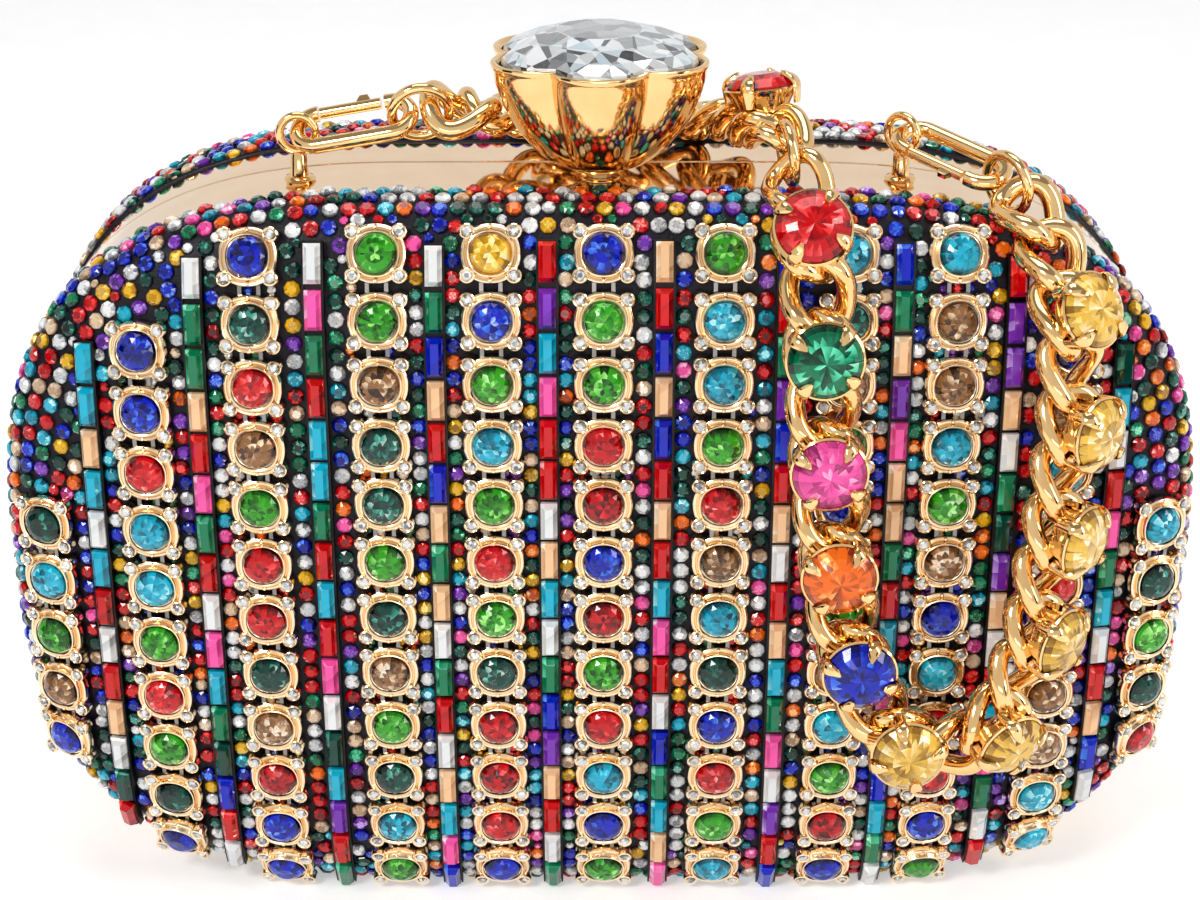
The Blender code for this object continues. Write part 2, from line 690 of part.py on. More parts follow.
def make_front_jewels():
    for number, (x_share, top_share) in enumerate(zip(COLUMN_X_SHARES, COLUMN_TOP_SHARES), 1):
        make_link_column(f"link_column_{number:02d}", x_share * CASE_HALF_WIDTH, top_share)
    midpoints = [(a + b) / 2 for a, b in zip(COLUMN_X_SHARES, COLUMN_X_SHARES[1:])]
    for number, (x_share, top_share) in enumerate(zip(midpoints, BAGUETTE_TOP_SHARES), 1):
        make_baguette_channel(f"baguette_channel_{number:02d}", x_share * CASE_HALF_WIDTH, top_share)


# Clasp


def lobed_ring(centre, radius, lobe_share, height, steps_per_lobe=4):
    """A ring with the knob's lobes, from round at lobe_share 0 to fully lobed at 1. One lobe faces the front."""
    ring = []
    sector = 2 * math.pi / KNOB_LOBES
    lobe_radius = 1 - KNOB_LOBE_CENTRE_SHARE
    for step in range(KNOB_LOBES * steps_per_lobe):
        angle = sector * step / steps_per_lobe
        offset = (angle + sector / 2) % sector - sector / 2
        sine = KNOB_LOBE_CENTRE_SHARE * math.sin(offset)
        lobed = KNOB_LOBE_CENTRE_SHARE * math.cos(offset) + math.sqrt(lobe_radius ** 2 - sine ** 2)
        reach = radius * (1 + lobe_share * (lobed - 1))
        ring.append(centre + Vector((reach * math.sin(angle), -reach * math.cos(angle), height)))
    return ring


def make_knob_cup():
    centre = Vector((0.0, KNOB_Y, KNOB_FOOT_Z))
    outer = []
    inner = []
    for height_share, reach_share in KNOB_PROFILE_SHARES:
        radius = KNOB_FOOT_RADIUS + (KNOB_RIM_RADIUS - KNOB_FOOT_RADIUS) * reach_share
        outer.append(lobed_ring(centre, radius, height_share ** 0.5, height_share * KNOB_HEIGHT))
        inner_height = KNOB_WALL + height_share * (KNOB_HEIGHT - KNOB_WALL)
        inner.append(lobed_ring(centre, radius - KNOB_WALL, height_share ** 0.5, inner_height))
    builder = bmesh.new()
    add_loft(builder, outer + inner[::-1])
    return finish_object("clasp_knob_cup", builder, GOLD, 0.08, 1.0)


def make_knob_stone():
    centre = Vector((0.0, KNOB_Y, KNOB_RIM_Z))
    girdle = KNOB_RIM_RADIUS - KNOB_WALL - 2 * CLEARANCE
    rings = []
    for reach_share, lobe_share, drop_share in KNOB_STONE_PAVILION_SHARES:
        rings.append(lobed_ring(centre, girdle * reach_share, lobe_share, -KNOB_HEIGHT * drop_share))
    for reach_share, lobe_share, rise_share in KNOB_STONE_CROWN_SHARES:
        rings.append(lobed_ring(centre, girdle * reach_share, lobe_share, KNOB_STONE_RISE * rise_share))
    builder = bmesh.new()
    add_loft(builder, rings)
    return finish_object("clasp_knob_stone", builder, COLOURS["clear"], 0.02, 0.0, smooth=False)


def make_clasp_stem():
    """Stem, its stop under the frame, and the catch arm that reaches under the back half."""
    centre = Vector((0.0, KNOB_Y, 0.0))
    stop_top = FRAME_TOP_INNER - CLEARANCE
    stop_bottom = stop_top - STOP_HEIGHT
    guide_low = BRACKET_FLOOR_TOP - BRACKET_WALL - CLEARANCE
    profile = [
        (STEM_GUIDE_RADIUS, guide_low),
        (STEM_GUIDE_RADIUS, CATCH_ARM_Z + CATCH_ARM_THICKNESS / 2),
        (STEM_RADIUS, CATCH_ARM_Z + CATCH_ARM_THICKNESS / 2),
        (STEM_RADIUS, stop_bottom),
        (STOP_RADIUS, stop_bottom),
        (STOP_RADIUS, stop_top),
        (STEM_RADIUS, stop_top),
        (STEM_RADIUS, KNOB_FOOT_Z - CLEARANCE),
    ]
    builder = bmesh.new()
    add_turned(builder, centre, profile, ROUND_SIDES)
    stem = finish_object("clasp_stem", builder, GOLD, 0.15, 1.0)
    arm = make_box_tool("catch_arm_tool", (-CATCH_ARM_HALF_WIDTH, KNOB_Y - STEM_RADIUS, CATCH_ARM_Z),
                        (CATCH_ARM_HALF_WIDTH, CATCH_REACH, CATCH_ARM_Z + CATCH_ARM_THICKNESS))
    tip_top = CATCH_ARM_Z + CATCH_ARM_THICKNESS + CATCH_TIP_HEIGHT
    tip = make_box_tool("catch_tip_tool", (-CATCH_ARM_HALF_WIDTH, CATCH_REACH - CATCH_TIP_DEPTH, CATCH_ARM_Z),
                        (CATCH_ARM_HALF_WIDTH, CATCH_REACH, tip_top))
    cut_or_join(stem, arm, "UNION")
    cut_or_join(stem, tip, "UNION")
    return stem


def make_keeper():
    """A bent plate under the back frame's top, behind which the catch tip sits."""
    tip_top = CATCH_ARM_Z + CATCH_ARM_THICKNESS + CATCH_TIP_HEIGHT
    top = FRAME_TOP_INNER - CLEARANCE
    lip_top = top - KEEPER_WALL / 2
    builder = bmesh.new()
    add_box(builder, (-CATCH_ARM_HALF_WIDTH, KEEPER_OFFSET, top - KEEPER_WALL),
            (CATCH_ARM_HALF_WIDTH, KEEPER_OFFSET + KEEPER_DEPTH, top))
    keeper = finish_object("catch_keeper", builder, GOLD, 0.3, 1.0, smooth=False)
    lip = make_box_tool("keeper_lip_tool", (-CATCH_ARM_HALF_WIDTH, KEEPER_OFFSET, tip_top + KEEPER_CLEARANCE),
                        (CATCH_ARM_HALF_WIDTH, KEEPER_OFFSET + KEEPER_WALL, lip_top))
    cut_or_join(keeper, lip, "UNION")
    return keeper


def make_latch_bracket():
    """A U bracket under the frame, whose floor carries the return spring and guides the stem."""
    top = FRAME_TOP_INNER - CLEARANCE
    floor_low = BRACKET_FLOOR_TOP - BRACKET_WALL
    outer_low = (-BRACKET_HALF_WIDTH - BRACKET_WALL, KNOB_Y - BRACKET_HALF_DEPTH, floor_low)
    outer_high = (BRACKET_HALF_WIDTH + BRACKET_WALL, KNOB_Y + BRACKET_HALF_DEPTH, top)
    bracket = make_box_tool("latch_bracket", outer_low, outer_high)
    space = make_box_tool("latch_bracket_space_cutter",
                          (-BRACKET_HALF_WIDTH, outer_low[1] - CUT_OVERRUN, BRACKET_FLOOR_TOP),
                          (BRACKET_HALF_WIDTH, outer_high[1] + CUT_OVERRUN, top + CUT_OVERRUN))
    cut_or_join(bracket, space, "DIFFERENCE")
    hole = make_rod_tool("latch_bracket_hole_cutter", (0.0, KNOB_Y), STEM_GUIDE_RADIUS + CLEARANCE,
                         floor_low - CUT_OVERRUN, BRACKET_FLOOR_TOP + CUT_OVERRUN)
    cut_or_join(bracket, hole, "DIFFERENCE")
    return bracket


def make_latch_spring():
    low = BRACKET_FLOOR_TOP + CLEARANCE + SPRING_WIRE_RADIUS
    rise = SPRING_LENGTH - 2 * SPRING_WIRE_RADIUS
    steps = SPRING_TURNS * 8
    points = []
    for step in range(steps + 1):
        angle = 2 * math.pi * SPRING_TURNS * step / steps
        points.append(Vector((SPRING_RADIUS * math.cos(angle), KNOB_Y + SPRING_RADIUS * math.sin(angle),
                              low + rise * step / steps)))
    builder = bmesh.new()
    add_sweep(builder, points, SPRING_WIRE_RADIUS, WIRE_SIDES, Vector((0, 0, 1)), closed=False)
    return finish_object("latch_spring", builder, (0.6, 0.6, 0.62), 0.3, 1.0)


def make_clasp_collar():
    outer = regular_shape(COLLAR_RADIUS, ROUND_SIDES)
    inner = regular_shape(STEM_RADIUS + CLEARANCE, ROUND_SIDES)
    low = FRAME_TOP + CLEARANCE
    high = low + COLLAR_HEIGHT
    builder = bmesh.new()
    rings = []
    for shape, height in ((outer, low), (outer, high), (inner, high), (inner, low)):
        rings.append([Vector((x, KNOB_Y + y, height)) for x, y in shape])
    add_loft(builder, rings, capped=False)
    return finish_object("clasp_collar", builder, GOLD, 0.12, 1.0)


# Ears


def ear_centre(side):
    low = frame_top_at(EAR_X - EAR_COLLAR_RADIUS) + CLEARANCE
    height = low + EAR_COLLAR_HEIGHT + EAR_POST_HEIGHT + EAR_RING_RADIUS
    return Vector((side * EAR_X, KNOB_Y, height))


def make_ear(name, side, hook_across):
    """A collared post riveted through the frame, with a round eye on top that the hook's wire passes square on."""
    centre = ear_centre(side)
    collar_low = frame_top_at(EAR_X - EAR_COLLAR_RADIUS) + CLEARANCE
    rivet_top = frame_top_at(EAR_X + EAR_RIVET_RADIUS) - FRAME_WALL - 2 * CLEARANCE
    profile = [
        (EAR_RIVET_RADIUS, rivet_top - EAR_RIVET_HEIGHT),
        (EAR_RIVET_RADIUS, rivet_top),
        (EAR_SHANK_RADIUS, rivet_top),
        (EAR_SHANK_RADIUS, collar_low),
        (EAR_COLLAR_RADIUS, collar_low),
        (EAR_COLLAR_RADIUS, collar_low + EAR_COLLAR_HEIGHT),
        (EAR_POST_RADIUS, collar_low + EAR_COLLAR_HEIGHT),
        (EAR_POST_RADIUS, centre.z - EAR_RING_RADIUS),
    ]
    builder = bmesh.new()
    add_turned(builder, Vector((centre.x, centre.y, 0.0)), profile, ROUND_SIDES)
    ear = finish_object(name, builder, GOLD, 0.12, 1.0)
    ring = bmesh.new()
    points = []
    axis = Vector((hook_across.x, hook_across.y, 0.0)).normalized()
    level = axis.cross(Vector((0, 0, 1)))
    for reach, z in regular_shape(EAR_RING_RADIUS, RING_STEPS):
        points.append(centre + level * reach + Vector((0.0, 0.0, z)))
    add_sweep(ring, points, EAR_WIRE_RADIUS, 6, axis, closed=True)
    cut_or_join(ear, finish_object(name + "_eye_tool", ring, GOLD), "UNION")
    return ear


# Strap


def strap_path():
    """Smooth points along the strap's route with the facing direction and arc length at each."""
    places = [ear_centre(-1)]
    for x, y, z in STRAP_ROUTE_SHARES:
        places.append(Vector((x * CASE_HALF_WIDTH, y * CASE_HALF_DEPTH, z * CASE_HEIGHT)))
    places.append(ear_centre(1))
    faces = [Vector(face) for face in STRAP_FACE_DIRECTIONS]
    faces = [faces[0]] + faces + [faces[-1]]
    padded = [2 * places[0] - places[1]] + places + [2 * places[-1] - places[-2]]
    points = []
    facing = []
    steps = 16
    for index in range(1, len(padded) - 2):
        a, b, c, d = padded[index - 1:index + 3]
        for step in range(steps):
            t = step / steps
            points.append(0.5 * (2 * b + (c - a) * t + (2 * a - 5 * b + 4 * c - d) * t ** 2
                                 + (3 * b - a - 3 * c + d) * t ** 3))
            facing.append(faces[index - 1].lerp(faces[index], t))
    points.append(places[-1])
    facing.append(faces[-1])
    lengths = [0.0]
    for first, second in zip(points, points[1:]):
        lengths.append(lengths[-1] + (second - first).length)
    return points, facing, lengths


def strap_seat(path, length):
    """Frame (centre, along, across, out) at a length along the strap."""
    points, facing, lengths = path
    centre, _ = point_at(points, lengths, length)
    reach = CHAIN_HALF_LENGTH / 2
    before, _ = point_at(points, lengths, max(0.0, length - reach))
    after, _ = point_at(points, lengths, min(lengths[-1], length + reach))
    along = (after - before).normalized()
    nearest = min(range(len(lengths)), key=lambda index: abs(lengths[index] - length))
    across = along.cross(facing[nearest]).normalized()
    out = across.cross(along).normalized()
    return centre, along, across, out


def link_end(seat, sign):
    return seat[0] + seat[1] * sign * CHAIN_HALF_LENGTH


def make_curb_link(name, seat):
    centre, along, across, out = seat
    points = []
    for step in range(CURB_STEPS):
        angle = 2 * math.pi * step / CURB_STEPS
        points.append(centre + along * CHAIN_HALF_LENGTH * math.cos(angle)
                      + across * CHAIN_HALF_WIDTH * math.sin(angle)
                      + out * CHAIN_TWIST * math.sin(2 * angle))
    builder = bmesh.new()
    add_sweep(builder, points, CHAIN_WIRE_RADIUS, WIRE_SIDES, out, closed=True)
    return finish_object(name, builder, GOLD, 0.12, 1.0)


def make_jump_ring(name, start, end, facing):
    """A round ring on edge to the links' broad faces, between the two end wires that it joins."""
    along = (end - start).normalized()
    across = along.cross(facing).normalized()
    out = across.cross(along)
    centre = (start + end) / 2
    points = [centre + along * a + out * b for a, b in regular_shape(RING_RADIUS, RING_STEPS)]
    builder = bmesh.new()
    add_sweep(builder, points, RING_WIRE_RADIUS, WIRE_SIDES, across, closed=True)
    return finish_object(name, builder, GOLD, 0.12, 1.0)


def make_hook(name, seat, colour=GOLD):
    """A snap hook with its nose in an ear. seat's along runs from the nose to the tail."""
    nose, along, across, out = seat
    points = []
    straight = HOOK_LENGTH - 2 * HOOK_HALF_WIDTH
    points.append(nose + along * (GATE_END + CLEARANCE + GATE_WIRE_RADIUS / 2) - across * HOOK_HALF_WIDTH)
    for step in range(7):
        angle = math.pi * step / 6
        points.append(nose + along * (HOOK_HALF_WIDTH + straight + HOOK_HALF_WIDTH * math.sin(angle))
                      - across * HOOK_HALF_WIDTH * math.cos(angle))
    for step in range(7):
        angle = math.pi * step / 6
        points.append(nose + along * (HOOK_HALF_WIDTH - HOOK_HALF_WIDTH * math.sin(angle))
                      + across * HOOK_HALF_WIDTH * math.cos(angle))
    points.append(nose + along * (GATE_START - CLEARANCE) - across * HOOK_HALF_WIDTH)
    builder = bmesh.new()
    add_sweep(builder, points, HOOK_WIRE_RADIUS, 6, out, closed=False)
    return finish_object(name, builder, colour, 0.12, 1.0)


def make_gate(name, seat, colour=GOLD):
    """The hook's sprung gate, with its origin on the pivot near its tail end."""
    nose, along, across, out = seat
    side = nose - across * HOOK_HALF_WIDTH
    builder = bmesh.new()
    ends = [side + along * GATE_START, side + along * GATE_END]
    add_sweep(builder, ends, GATE_WIRE_RADIUS, 6, out, closed=False)
    gate = finish_object(name, builder, colour, 0.12, 1.0)
    move_origin(gate, side + along * (GATE_END - GATE_PIVOT_INSET))
    return gate


def make_setting(name, seat):
    """A faceted cup soldered on a link's broad face."""
    centre, along, across, out = seat
    base = CHAIN_TWIST + CHAIN_WIRE_RADIUS - SETTING_SOLDER
    cup = regular_shape(SETTING_BASE_RADIUS, 8, 0.5)
    builder = bmesh.new()
    add_prism(builder, centre, across, along, out, cup, base, base + SETTING_HEIGHT,
              SETTING_RIM_RADIUS / SETTING_BASE_RADIUS)
    return finish_object(name, builder, GOLD, 0.15, 1.0, smooth=False)


def make_strap_stone(name, seat, colour):
    centre, along, across, out = seat
    low = CHAIN_TWIST + CHAIN_WIRE_RADIUS - SETTING_SOLDER + SETTING_HEIGHT + CLEARANCE
    shape = regular_shape(STRAP_STONE_RADIUS, 8, 0.5)
    builder = bmesh.new()
    add_prism(builder, centre, across, along, out, shape, low, low + STRAP_STONE_HEIGHT,
              STRAP_STONE_TABLE_RADIUS / STRAP_STONE_RADIUS)
    return finish_object(name, builder, colour, 0.04, 0.0, smooth=False)


def join_all(first, others):
    """Joins the other pieces to the first one, as one metal body."""
    group = bpy.data.collections.new(first.name + "_joined")
    bpy.context.scene.collection.children.link(group)
    for item in others:
        bpy.context.scene.collection.objects.unlink(item)
        group.objects.link(item)
        item.hide_render = True
        item.display_type = "WIRE"
    modifier = first.modifiers.new("joined", "BOOLEAN")
    modifier.operand_type = "COLLECTION"
    modifier.collection = group
    modifier.operation = "UNION"
    modifier.solver = "EXACT"


def length_at_reach(path, point, low, high, sign, reach, rising):
    """Length of the link whose end wire is at a reach from a point. rising says that the reach grows with length."""
    for _ in range(BISECTIONS):
        middle = (low + high) / 2
        near = (link_end(strap_seat(path, middle), sign) - point).length < reach
        if near == rising:
            low = middle
        else:
            high = middle
    return low


def march_links(path, first, count, reach):
    """Lengths of a first link and count more, each with its start wire at the same reach from the last one's end."""
    places = [first]
    for _ in range(count):
        end = link_end(strap_seat(path, places[-1]), 1)
        low = places[-1] + CHAIN_HALF_LENGTH
        places.append(length_at_reach(path, end, low, low + CHAIN_HALF_LENGTH, -1, reach, False))
    return places


def links_between(path, first, last):
    """Lengths of a run of links from first to last, all alike in how they touch."""
    step = 2 * CHAIN_HALF_LENGTH - 2 * CHAIN_WIRE_RADIUS + CHAIN_CONTACT
    count = round((last - first) / step)
    low, high = 0.0, 2 * CHAIN_WIRE_RADIUS
    for _ in range(BISECTIONS):
        reach = (low + high) / 2
        places = march_links(path, first, count, reach)
        if places[-1] > last:
            low = reach
        else:
            high = reach
    return places


def strap_places(path, left_tail, right_tail):
    """Lengths along the strap of the links of its upper chain and of its loop."""
    total = path[2][-1]
    near = HOOK_LENGTH + CHAIN_HALF_LENGTH
    upper_first = length_at_reach(path, left_tail, near, near + 2 * RING_SPAN, -1, RING_SPAN, True)
    loop_last = length_at_reach(path, right_tail, total - near - 2 * RING_SPAN, total - near, 1, RING_SPAN, False)
    upper_last = total * UPPER_END_SHARE
    upper_end = link_end(strap_seat(path, upper_last), 1)
    near = upper_last + 2 * CHAIN_HALF_LENGTH
    loop_first = length_at_reach(path, upper_end, near, near + 2 * RING_SPAN, -1, RING_SPAN, True)
    return links_between(path, upper_first, upper_last), links_between(path, loop_first, loop_last)


def hook_seats(path):
    """Frames of the two hooks: nose in the ear, along from nose to tail, each drawn towards a place on the route."""
    points, _, lengths = path
    seats = []
    left_aim, right_aim = (HOOK_LENGTH * share for share in HOOK_AIM_SHARES)
    for side, length in ((-1, left_aim), (1, lengths[-1] - right_aim)):
        nose = ear_centre(side)
        aim, _ = point_at(points, lengths, length)
        along = (aim - nose).normalized()
        across = -side * along.cross(strap_seat(path, length)[3]).normalized()
        seats.append((nose, along, across, -side * across.cross(along)))
    return seats


def make_strap(path, left_seat, right_seat):
    parts = {}
    parts["left_hook"] = make_hook("left_hook", left_seat)
    parts["left_hook_gate"] = make_gate("left_hook_gate", left_seat)
    parts["right_hook"] = make_hook("right_hook", right_seat)
    parts["right_hook_gate"] = make_gate("right_hook_gate", right_seat)
    left_tail = left_seat[0] + left_seat[1] * HOOK_LENGTH
    right_tail = right_seat[0] + right_seat[1] * HOOK_LENGTH
    upper_places, loop_places = strap_places(path, left_tail, right_tail)
    upper = [strap_seat(path, length) for length in upper_places]
    loop = [strap_seat(path, length) for length in loop_places]
    for name, start, end, facing in (
        ("left_jump_ring", left_tail, link_end(upper[0], -1), left_seat[3] + upper[0][3]),
        ("middle_jump_ring", link_end(upper[-1], 1), link_end(loop[0], -1), upper[-1][3] + loop[0][3]),
        ("right_jump_ring", link_end(loop[-1], 1), right_tail, loop[-1][3] + right_seat[3]),
    ):
        parts[name] = make_jump_ring(name, start, end, facing)

    number = 0
    for section, seats, first_set, last_set in (("upper", upper, len(upper) - 2, 1), ("loop", loop, 1, 1)):
        joined = []
        for index, seat in enumerate(seats):
            joined.append(make_curb_link(f"{section}_link_{index}", seat))
            if index >= first_set and index < len(seats) - last_set and (index - first_set) % 2 == 0:
                joined.append(make_setting(f"{section}_setting_{index}", seat))
                letter = STRAP_STONE_ORDER[number % len(STRAP_STONE_ORDER)]
                number += 1
                node = f"{section}_stone_{number:02d}_{STRAP_STONE_NAMES[letter]}"
                parts[node] = make_strap_stone(node, seat, COLOURS[STRAP_STONE_NAMES[letter]])
        chain = joined[0]
        chain.name = section + "_chain"
        join_all(chain, joined[1:])
        parts[chain.name] = chain

    axis_start = link_end(loop[0], -1)
    loop_parts = [part for name, part in parts.items() if name.startswith("loop_")]
    carry(make_empty("strap_loop_swing", axis_start), *loop_parts)
    return parts


def centre_on_ground():
    """Moves the whole object so that its bounding box is centred over the origin."""
    bpy.context.view_layer.update()
    shown = [item for item in bpy.data.objects if item.type == "MESH" and not item.hide_render]
    depths = [(item.matrix_world @ Vector(corner)).y for item in shown for corner in item.bound_box]
    shift = -(min(depths) + max(depths)) / 2
    for item in bpy.data.objects:
        if item.parent is None:
            item.location.y += shift


def main():
    clear_scene()
    case = make_case()
    _, back_leaf, _ = make_hinge()
    make_front_jewels()
    knob = [make_knob_cup(), make_knob_stone(), make_clasp_stem()]
    keeper = make_keeper()
    make_latch_bracket()
    make_latch_spring()
    make_clasp_collar()
    path = strap_path()
    left_seat, right_seat = hook_seats(path)
    make_ear("left_ear", -1, left_seat[2])
    make_ear("right_ear", 1, right_seat[2])
    make_strap(path, left_seat, right_seat)
    hinge = make_empty("case_hinge", Vector((0.0, 0.0, HINGE_Z)))
    carry(hinge, case["back_shell"], case["back_frame"], case["back_lining"], back_leaf, keeper)
    carry(make_empty("clasp_press", Vector((0.0, KNOB_Y, KNOB_FOOT_Z))), *knob)
    centre_on_ground()
    bpy.context.view_layer.update()


main()
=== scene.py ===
"""Looks of the jewelled evening clutch: metalwork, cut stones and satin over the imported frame.

Pieces are worked out in the case's own place, as in the part's source, and SHIFT moves them into the frame.
"""
import itertools
import math
import random
import bmesh
import bpy
from mathutils import Matrix, Vector, noise


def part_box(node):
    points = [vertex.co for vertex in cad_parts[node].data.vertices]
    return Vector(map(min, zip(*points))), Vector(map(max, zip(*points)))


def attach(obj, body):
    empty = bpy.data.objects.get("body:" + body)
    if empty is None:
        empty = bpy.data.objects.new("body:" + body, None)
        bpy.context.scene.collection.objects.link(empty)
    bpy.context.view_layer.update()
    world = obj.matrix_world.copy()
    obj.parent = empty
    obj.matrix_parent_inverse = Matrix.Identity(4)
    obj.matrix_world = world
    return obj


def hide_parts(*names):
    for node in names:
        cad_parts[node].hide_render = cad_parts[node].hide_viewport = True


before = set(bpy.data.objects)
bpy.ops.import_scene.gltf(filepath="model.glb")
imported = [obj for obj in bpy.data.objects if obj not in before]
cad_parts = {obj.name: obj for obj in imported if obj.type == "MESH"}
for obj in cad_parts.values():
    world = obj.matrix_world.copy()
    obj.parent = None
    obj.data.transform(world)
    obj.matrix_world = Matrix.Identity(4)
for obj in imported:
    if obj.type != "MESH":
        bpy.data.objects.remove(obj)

# Sizes of the part, as in its source
CASE_HALF_WIDTH = 0.091
CASE_HALF_HEIGHT = 0.058
CASE_FLAT_HALF = 0.025
CORNER_POWER = 2.9
PILLOW_POWER = 3.08
FRAME_DEPTH = 0.016
PILLOW_BULGE = 0.0148
SHELL_STRAIGHT = 0.0025
SHELL_WALL = 0.0015
FRAME_INSET = 0.0016
FRAME_WALL = 0.0018
LIP_CLEARANCE = 0.0007
LIP_DEPTH = 0.003
LINING_WALL = 0.0008
LINING_RIM_SETBACK = 0.0006
CLEARANCE = 0.0003
JEWEL_STANDOFF = 0.0005
CUT_OVERRUN = 0.002
LINK_WIDTH = 0.0092
LINK_HEIGHT = 0.0087
LINK_PITCH = 0.0095
BAGUETTE_WIDTH = 0.0026
BAGUETTE_PITCH = 0.0066
COLUMN_END_MARGIN = 0.0056
COLUMN_X_SHARES = (-0.925, -0.745, -0.560, -0.356, -0.174, 0.006, 0.200, 0.398, 0.572, 0.764, 0.935)
COLUMN_TOP_SHARES = (0.575, 0.825, 0.942, 0.948, 0.948, 0.948, 0.948, 0.948, 0.942, 0.825, 0.575)
BAGUETTE_TOP_SHARES = (0.80, 0.915, 0.935, 0.935, 0.940, 0.940, 0.935, 0.935, 0.915, 0.80)
HINGE_BARREL_RADIUS = 0.0013
HINGE_HALF_LENGTH = 0.0245
LEAF_THICKNESS = 0.0008
KNOB_RIM_RADIUS = 0.0172
KNOB_HEIGHT = 0.0152
KNOB_WALL = 0.0011
KNOB_LOBES = 6
KNOB_FOOT_RADIUS = 0.0034
KNOB_TRAVEL = 0.0012
STEM_RADIUS = 0.0020
COLLAR_HEIGHT = 0.0010
CATCH_DROP = 0.0048
CATCH_ARM_THICKNESS = 0.0008
KEEPER_OFFSET = 0.0022
KEEPER_DEPTH = 0.0070
SPRING_LENGTH = 0.0042
BRACKET_HALF_WIDTH = 0.0055
BRACKET_HALF_DEPTH = 0.0035
BRACKET_WALL = 0.0008
EAR_X = 0.0455
EAR_RING_RADIUS = 0.0027
EAR_WIRE_RADIUS = 0.00065
EAR_POST_RADIUS = 0.0013
EAR_POST_HEIGHT = 0.0048
EAR_COLLAR_RADIUS = 0.0021
EAR_COLLAR_HEIGHT = 0.0007
CHAIN_WIRE_RADIUS = 0.00125
CHAIN_HALF_LENGTH = 0.0052
CHAIN_HALF_WIDTH = 0.0041
CHAIN_TWIST = 0.0018
CHAIN_CONTACT = 0.0004
RING_RADIUS = 0.0043
RING_SPAN = 0.0029
RING_WIRE_RADIUS = 0.0008
HOOK_LENGTH = 0.0176
HOOK_HALF_WIDTH = 0.0031
HOOK_AIM_SHARES = (0.60, 1.00)
GATE_WIRE_RADIUS = 0.00075
GATE_START = 0.0036
GATE_END = 0.0130
SETTING_BASE_RADIUS = 0.0041
SETTING_RIM_RADIUS = 0.0056
SETTING_HEIGHT = 0.0037
SETTING_SOLDER = 0.0010
STRAP_STONE_RADIUS = 0.0053
STRAP_ROUTE_SHARES = (
    (-0.322, -0.276, 1.080),
    (-0.225, -0.162, 1.079),
    (-0.140, 0.155, 1.047),
    (-0.040, 0.330, 1.027),
    (0.090, 0.330, 1.027),
    (0.213, 0.180, 1.040),
    (0.268, -0.200, 1.062),
    (0.290, -0.560, 1.070),
    (0.316, -0.930, 1.022),
    (0.338, -1.160, 0.935),
    (0.349, -1.250, 0.825),
    (0.360, -1.260, 0.712),
    (0.382, -1.275, 0.575),
    (0.415, -1.270, 0.445),
    (0.480, -1.270, 0.332),
    (0.568, -1.265, 0.293),
    (0.655, -1.250, 0.335),
    (0.703, -1.235, 0.435),
    (0.722, -1.225, 0.545),
    (0.738, -1.215, 0.675),
    (0.744, -1.190, 0.790),
    (0.732, -1.150, 0.887),
    (0.702, -0.900, 0.972),
    (0.632, -0.560, 1.030),
)
STRAP_FACE_DIRECTIONS = (
    (-0.20, -0.55, 0.80),
    (-0.05, -0.30, 0.95),
    (0.00, 0.15, 1.00),
    (0.00, 0.20, 1.00),
    (0.05, 0.25, 0.97),
    (0.25, 0.15, 0.95),
    (0.12, -0.60, 0.78),
    (0.06, -0.85, 0.52),
    (0.05, -0.95, 0.32),
    (0.05, -1.00, 0.20),
    (0.00, -1.00, 0.10),
    (0.00, -1.00, 0.05),
    (0.00, -1.00, 0.00),
    (0.05, -1.00, -0.05),
    (0.20, -0.97, -0.15),
    (0.40, -0.90, -0.15),
    (0.58, -0.80, -0.10),
    (0.70, -0.70, 0.00),
    (0.74, -0.66, 0.08),
    (0.72, -0.66, 0.15),
    (0.64, -0.70, 0.28),
    (0.50, -0.75, 0.42),
    (0.40, -0.75, 0.53),
    (0.30, -0.70, 0.65),
)
UPPER_END_SHARE = 0.300
STRAP_STEPS = 16
PATH_SAMPLES = 160
BISECTIONS = 16
CASE_HEIGHT = 2 * CASE_HALF_HEIGHT
STRAIGHT_END = FRAME_DEPTH + SHELL_STRAIGHT
CASE_HALF_DEPTH = FRAME_DEPTH + PILLOW_BULGE
FRAME_INNER_INSET = FRAME_INSET + FRAME_WALL
LEAF_INSET = FRAME_INNER_INSET + CLEARANCE
LINING_INSET = LEAF_INSET + LEAF_THICKNESS + CLEARANCE
FRAME_TOP = CASE_HEIGHT - FRAME_INSET
FRAME_TOP_INNER = CASE_HEIGHT - FRAME_INNER_INSET
KNOB_Y = -FRAME_DEPTH / 2
KNOB_FOOT_Z = FRAME_TOP + CLEARANCE + COLLAR_HEIGHT + CLEARANCE + KNOB_TRAVEL
CATCH_ARM_Z = FRAME_TOP_INNER - CATCH_DROP - CATCH_ARM_THICKNESS
BRACKET_FLOOR_TOP = CATCH_ARM_Z - SPRING_LENGTH - 2 * CLEARANCE

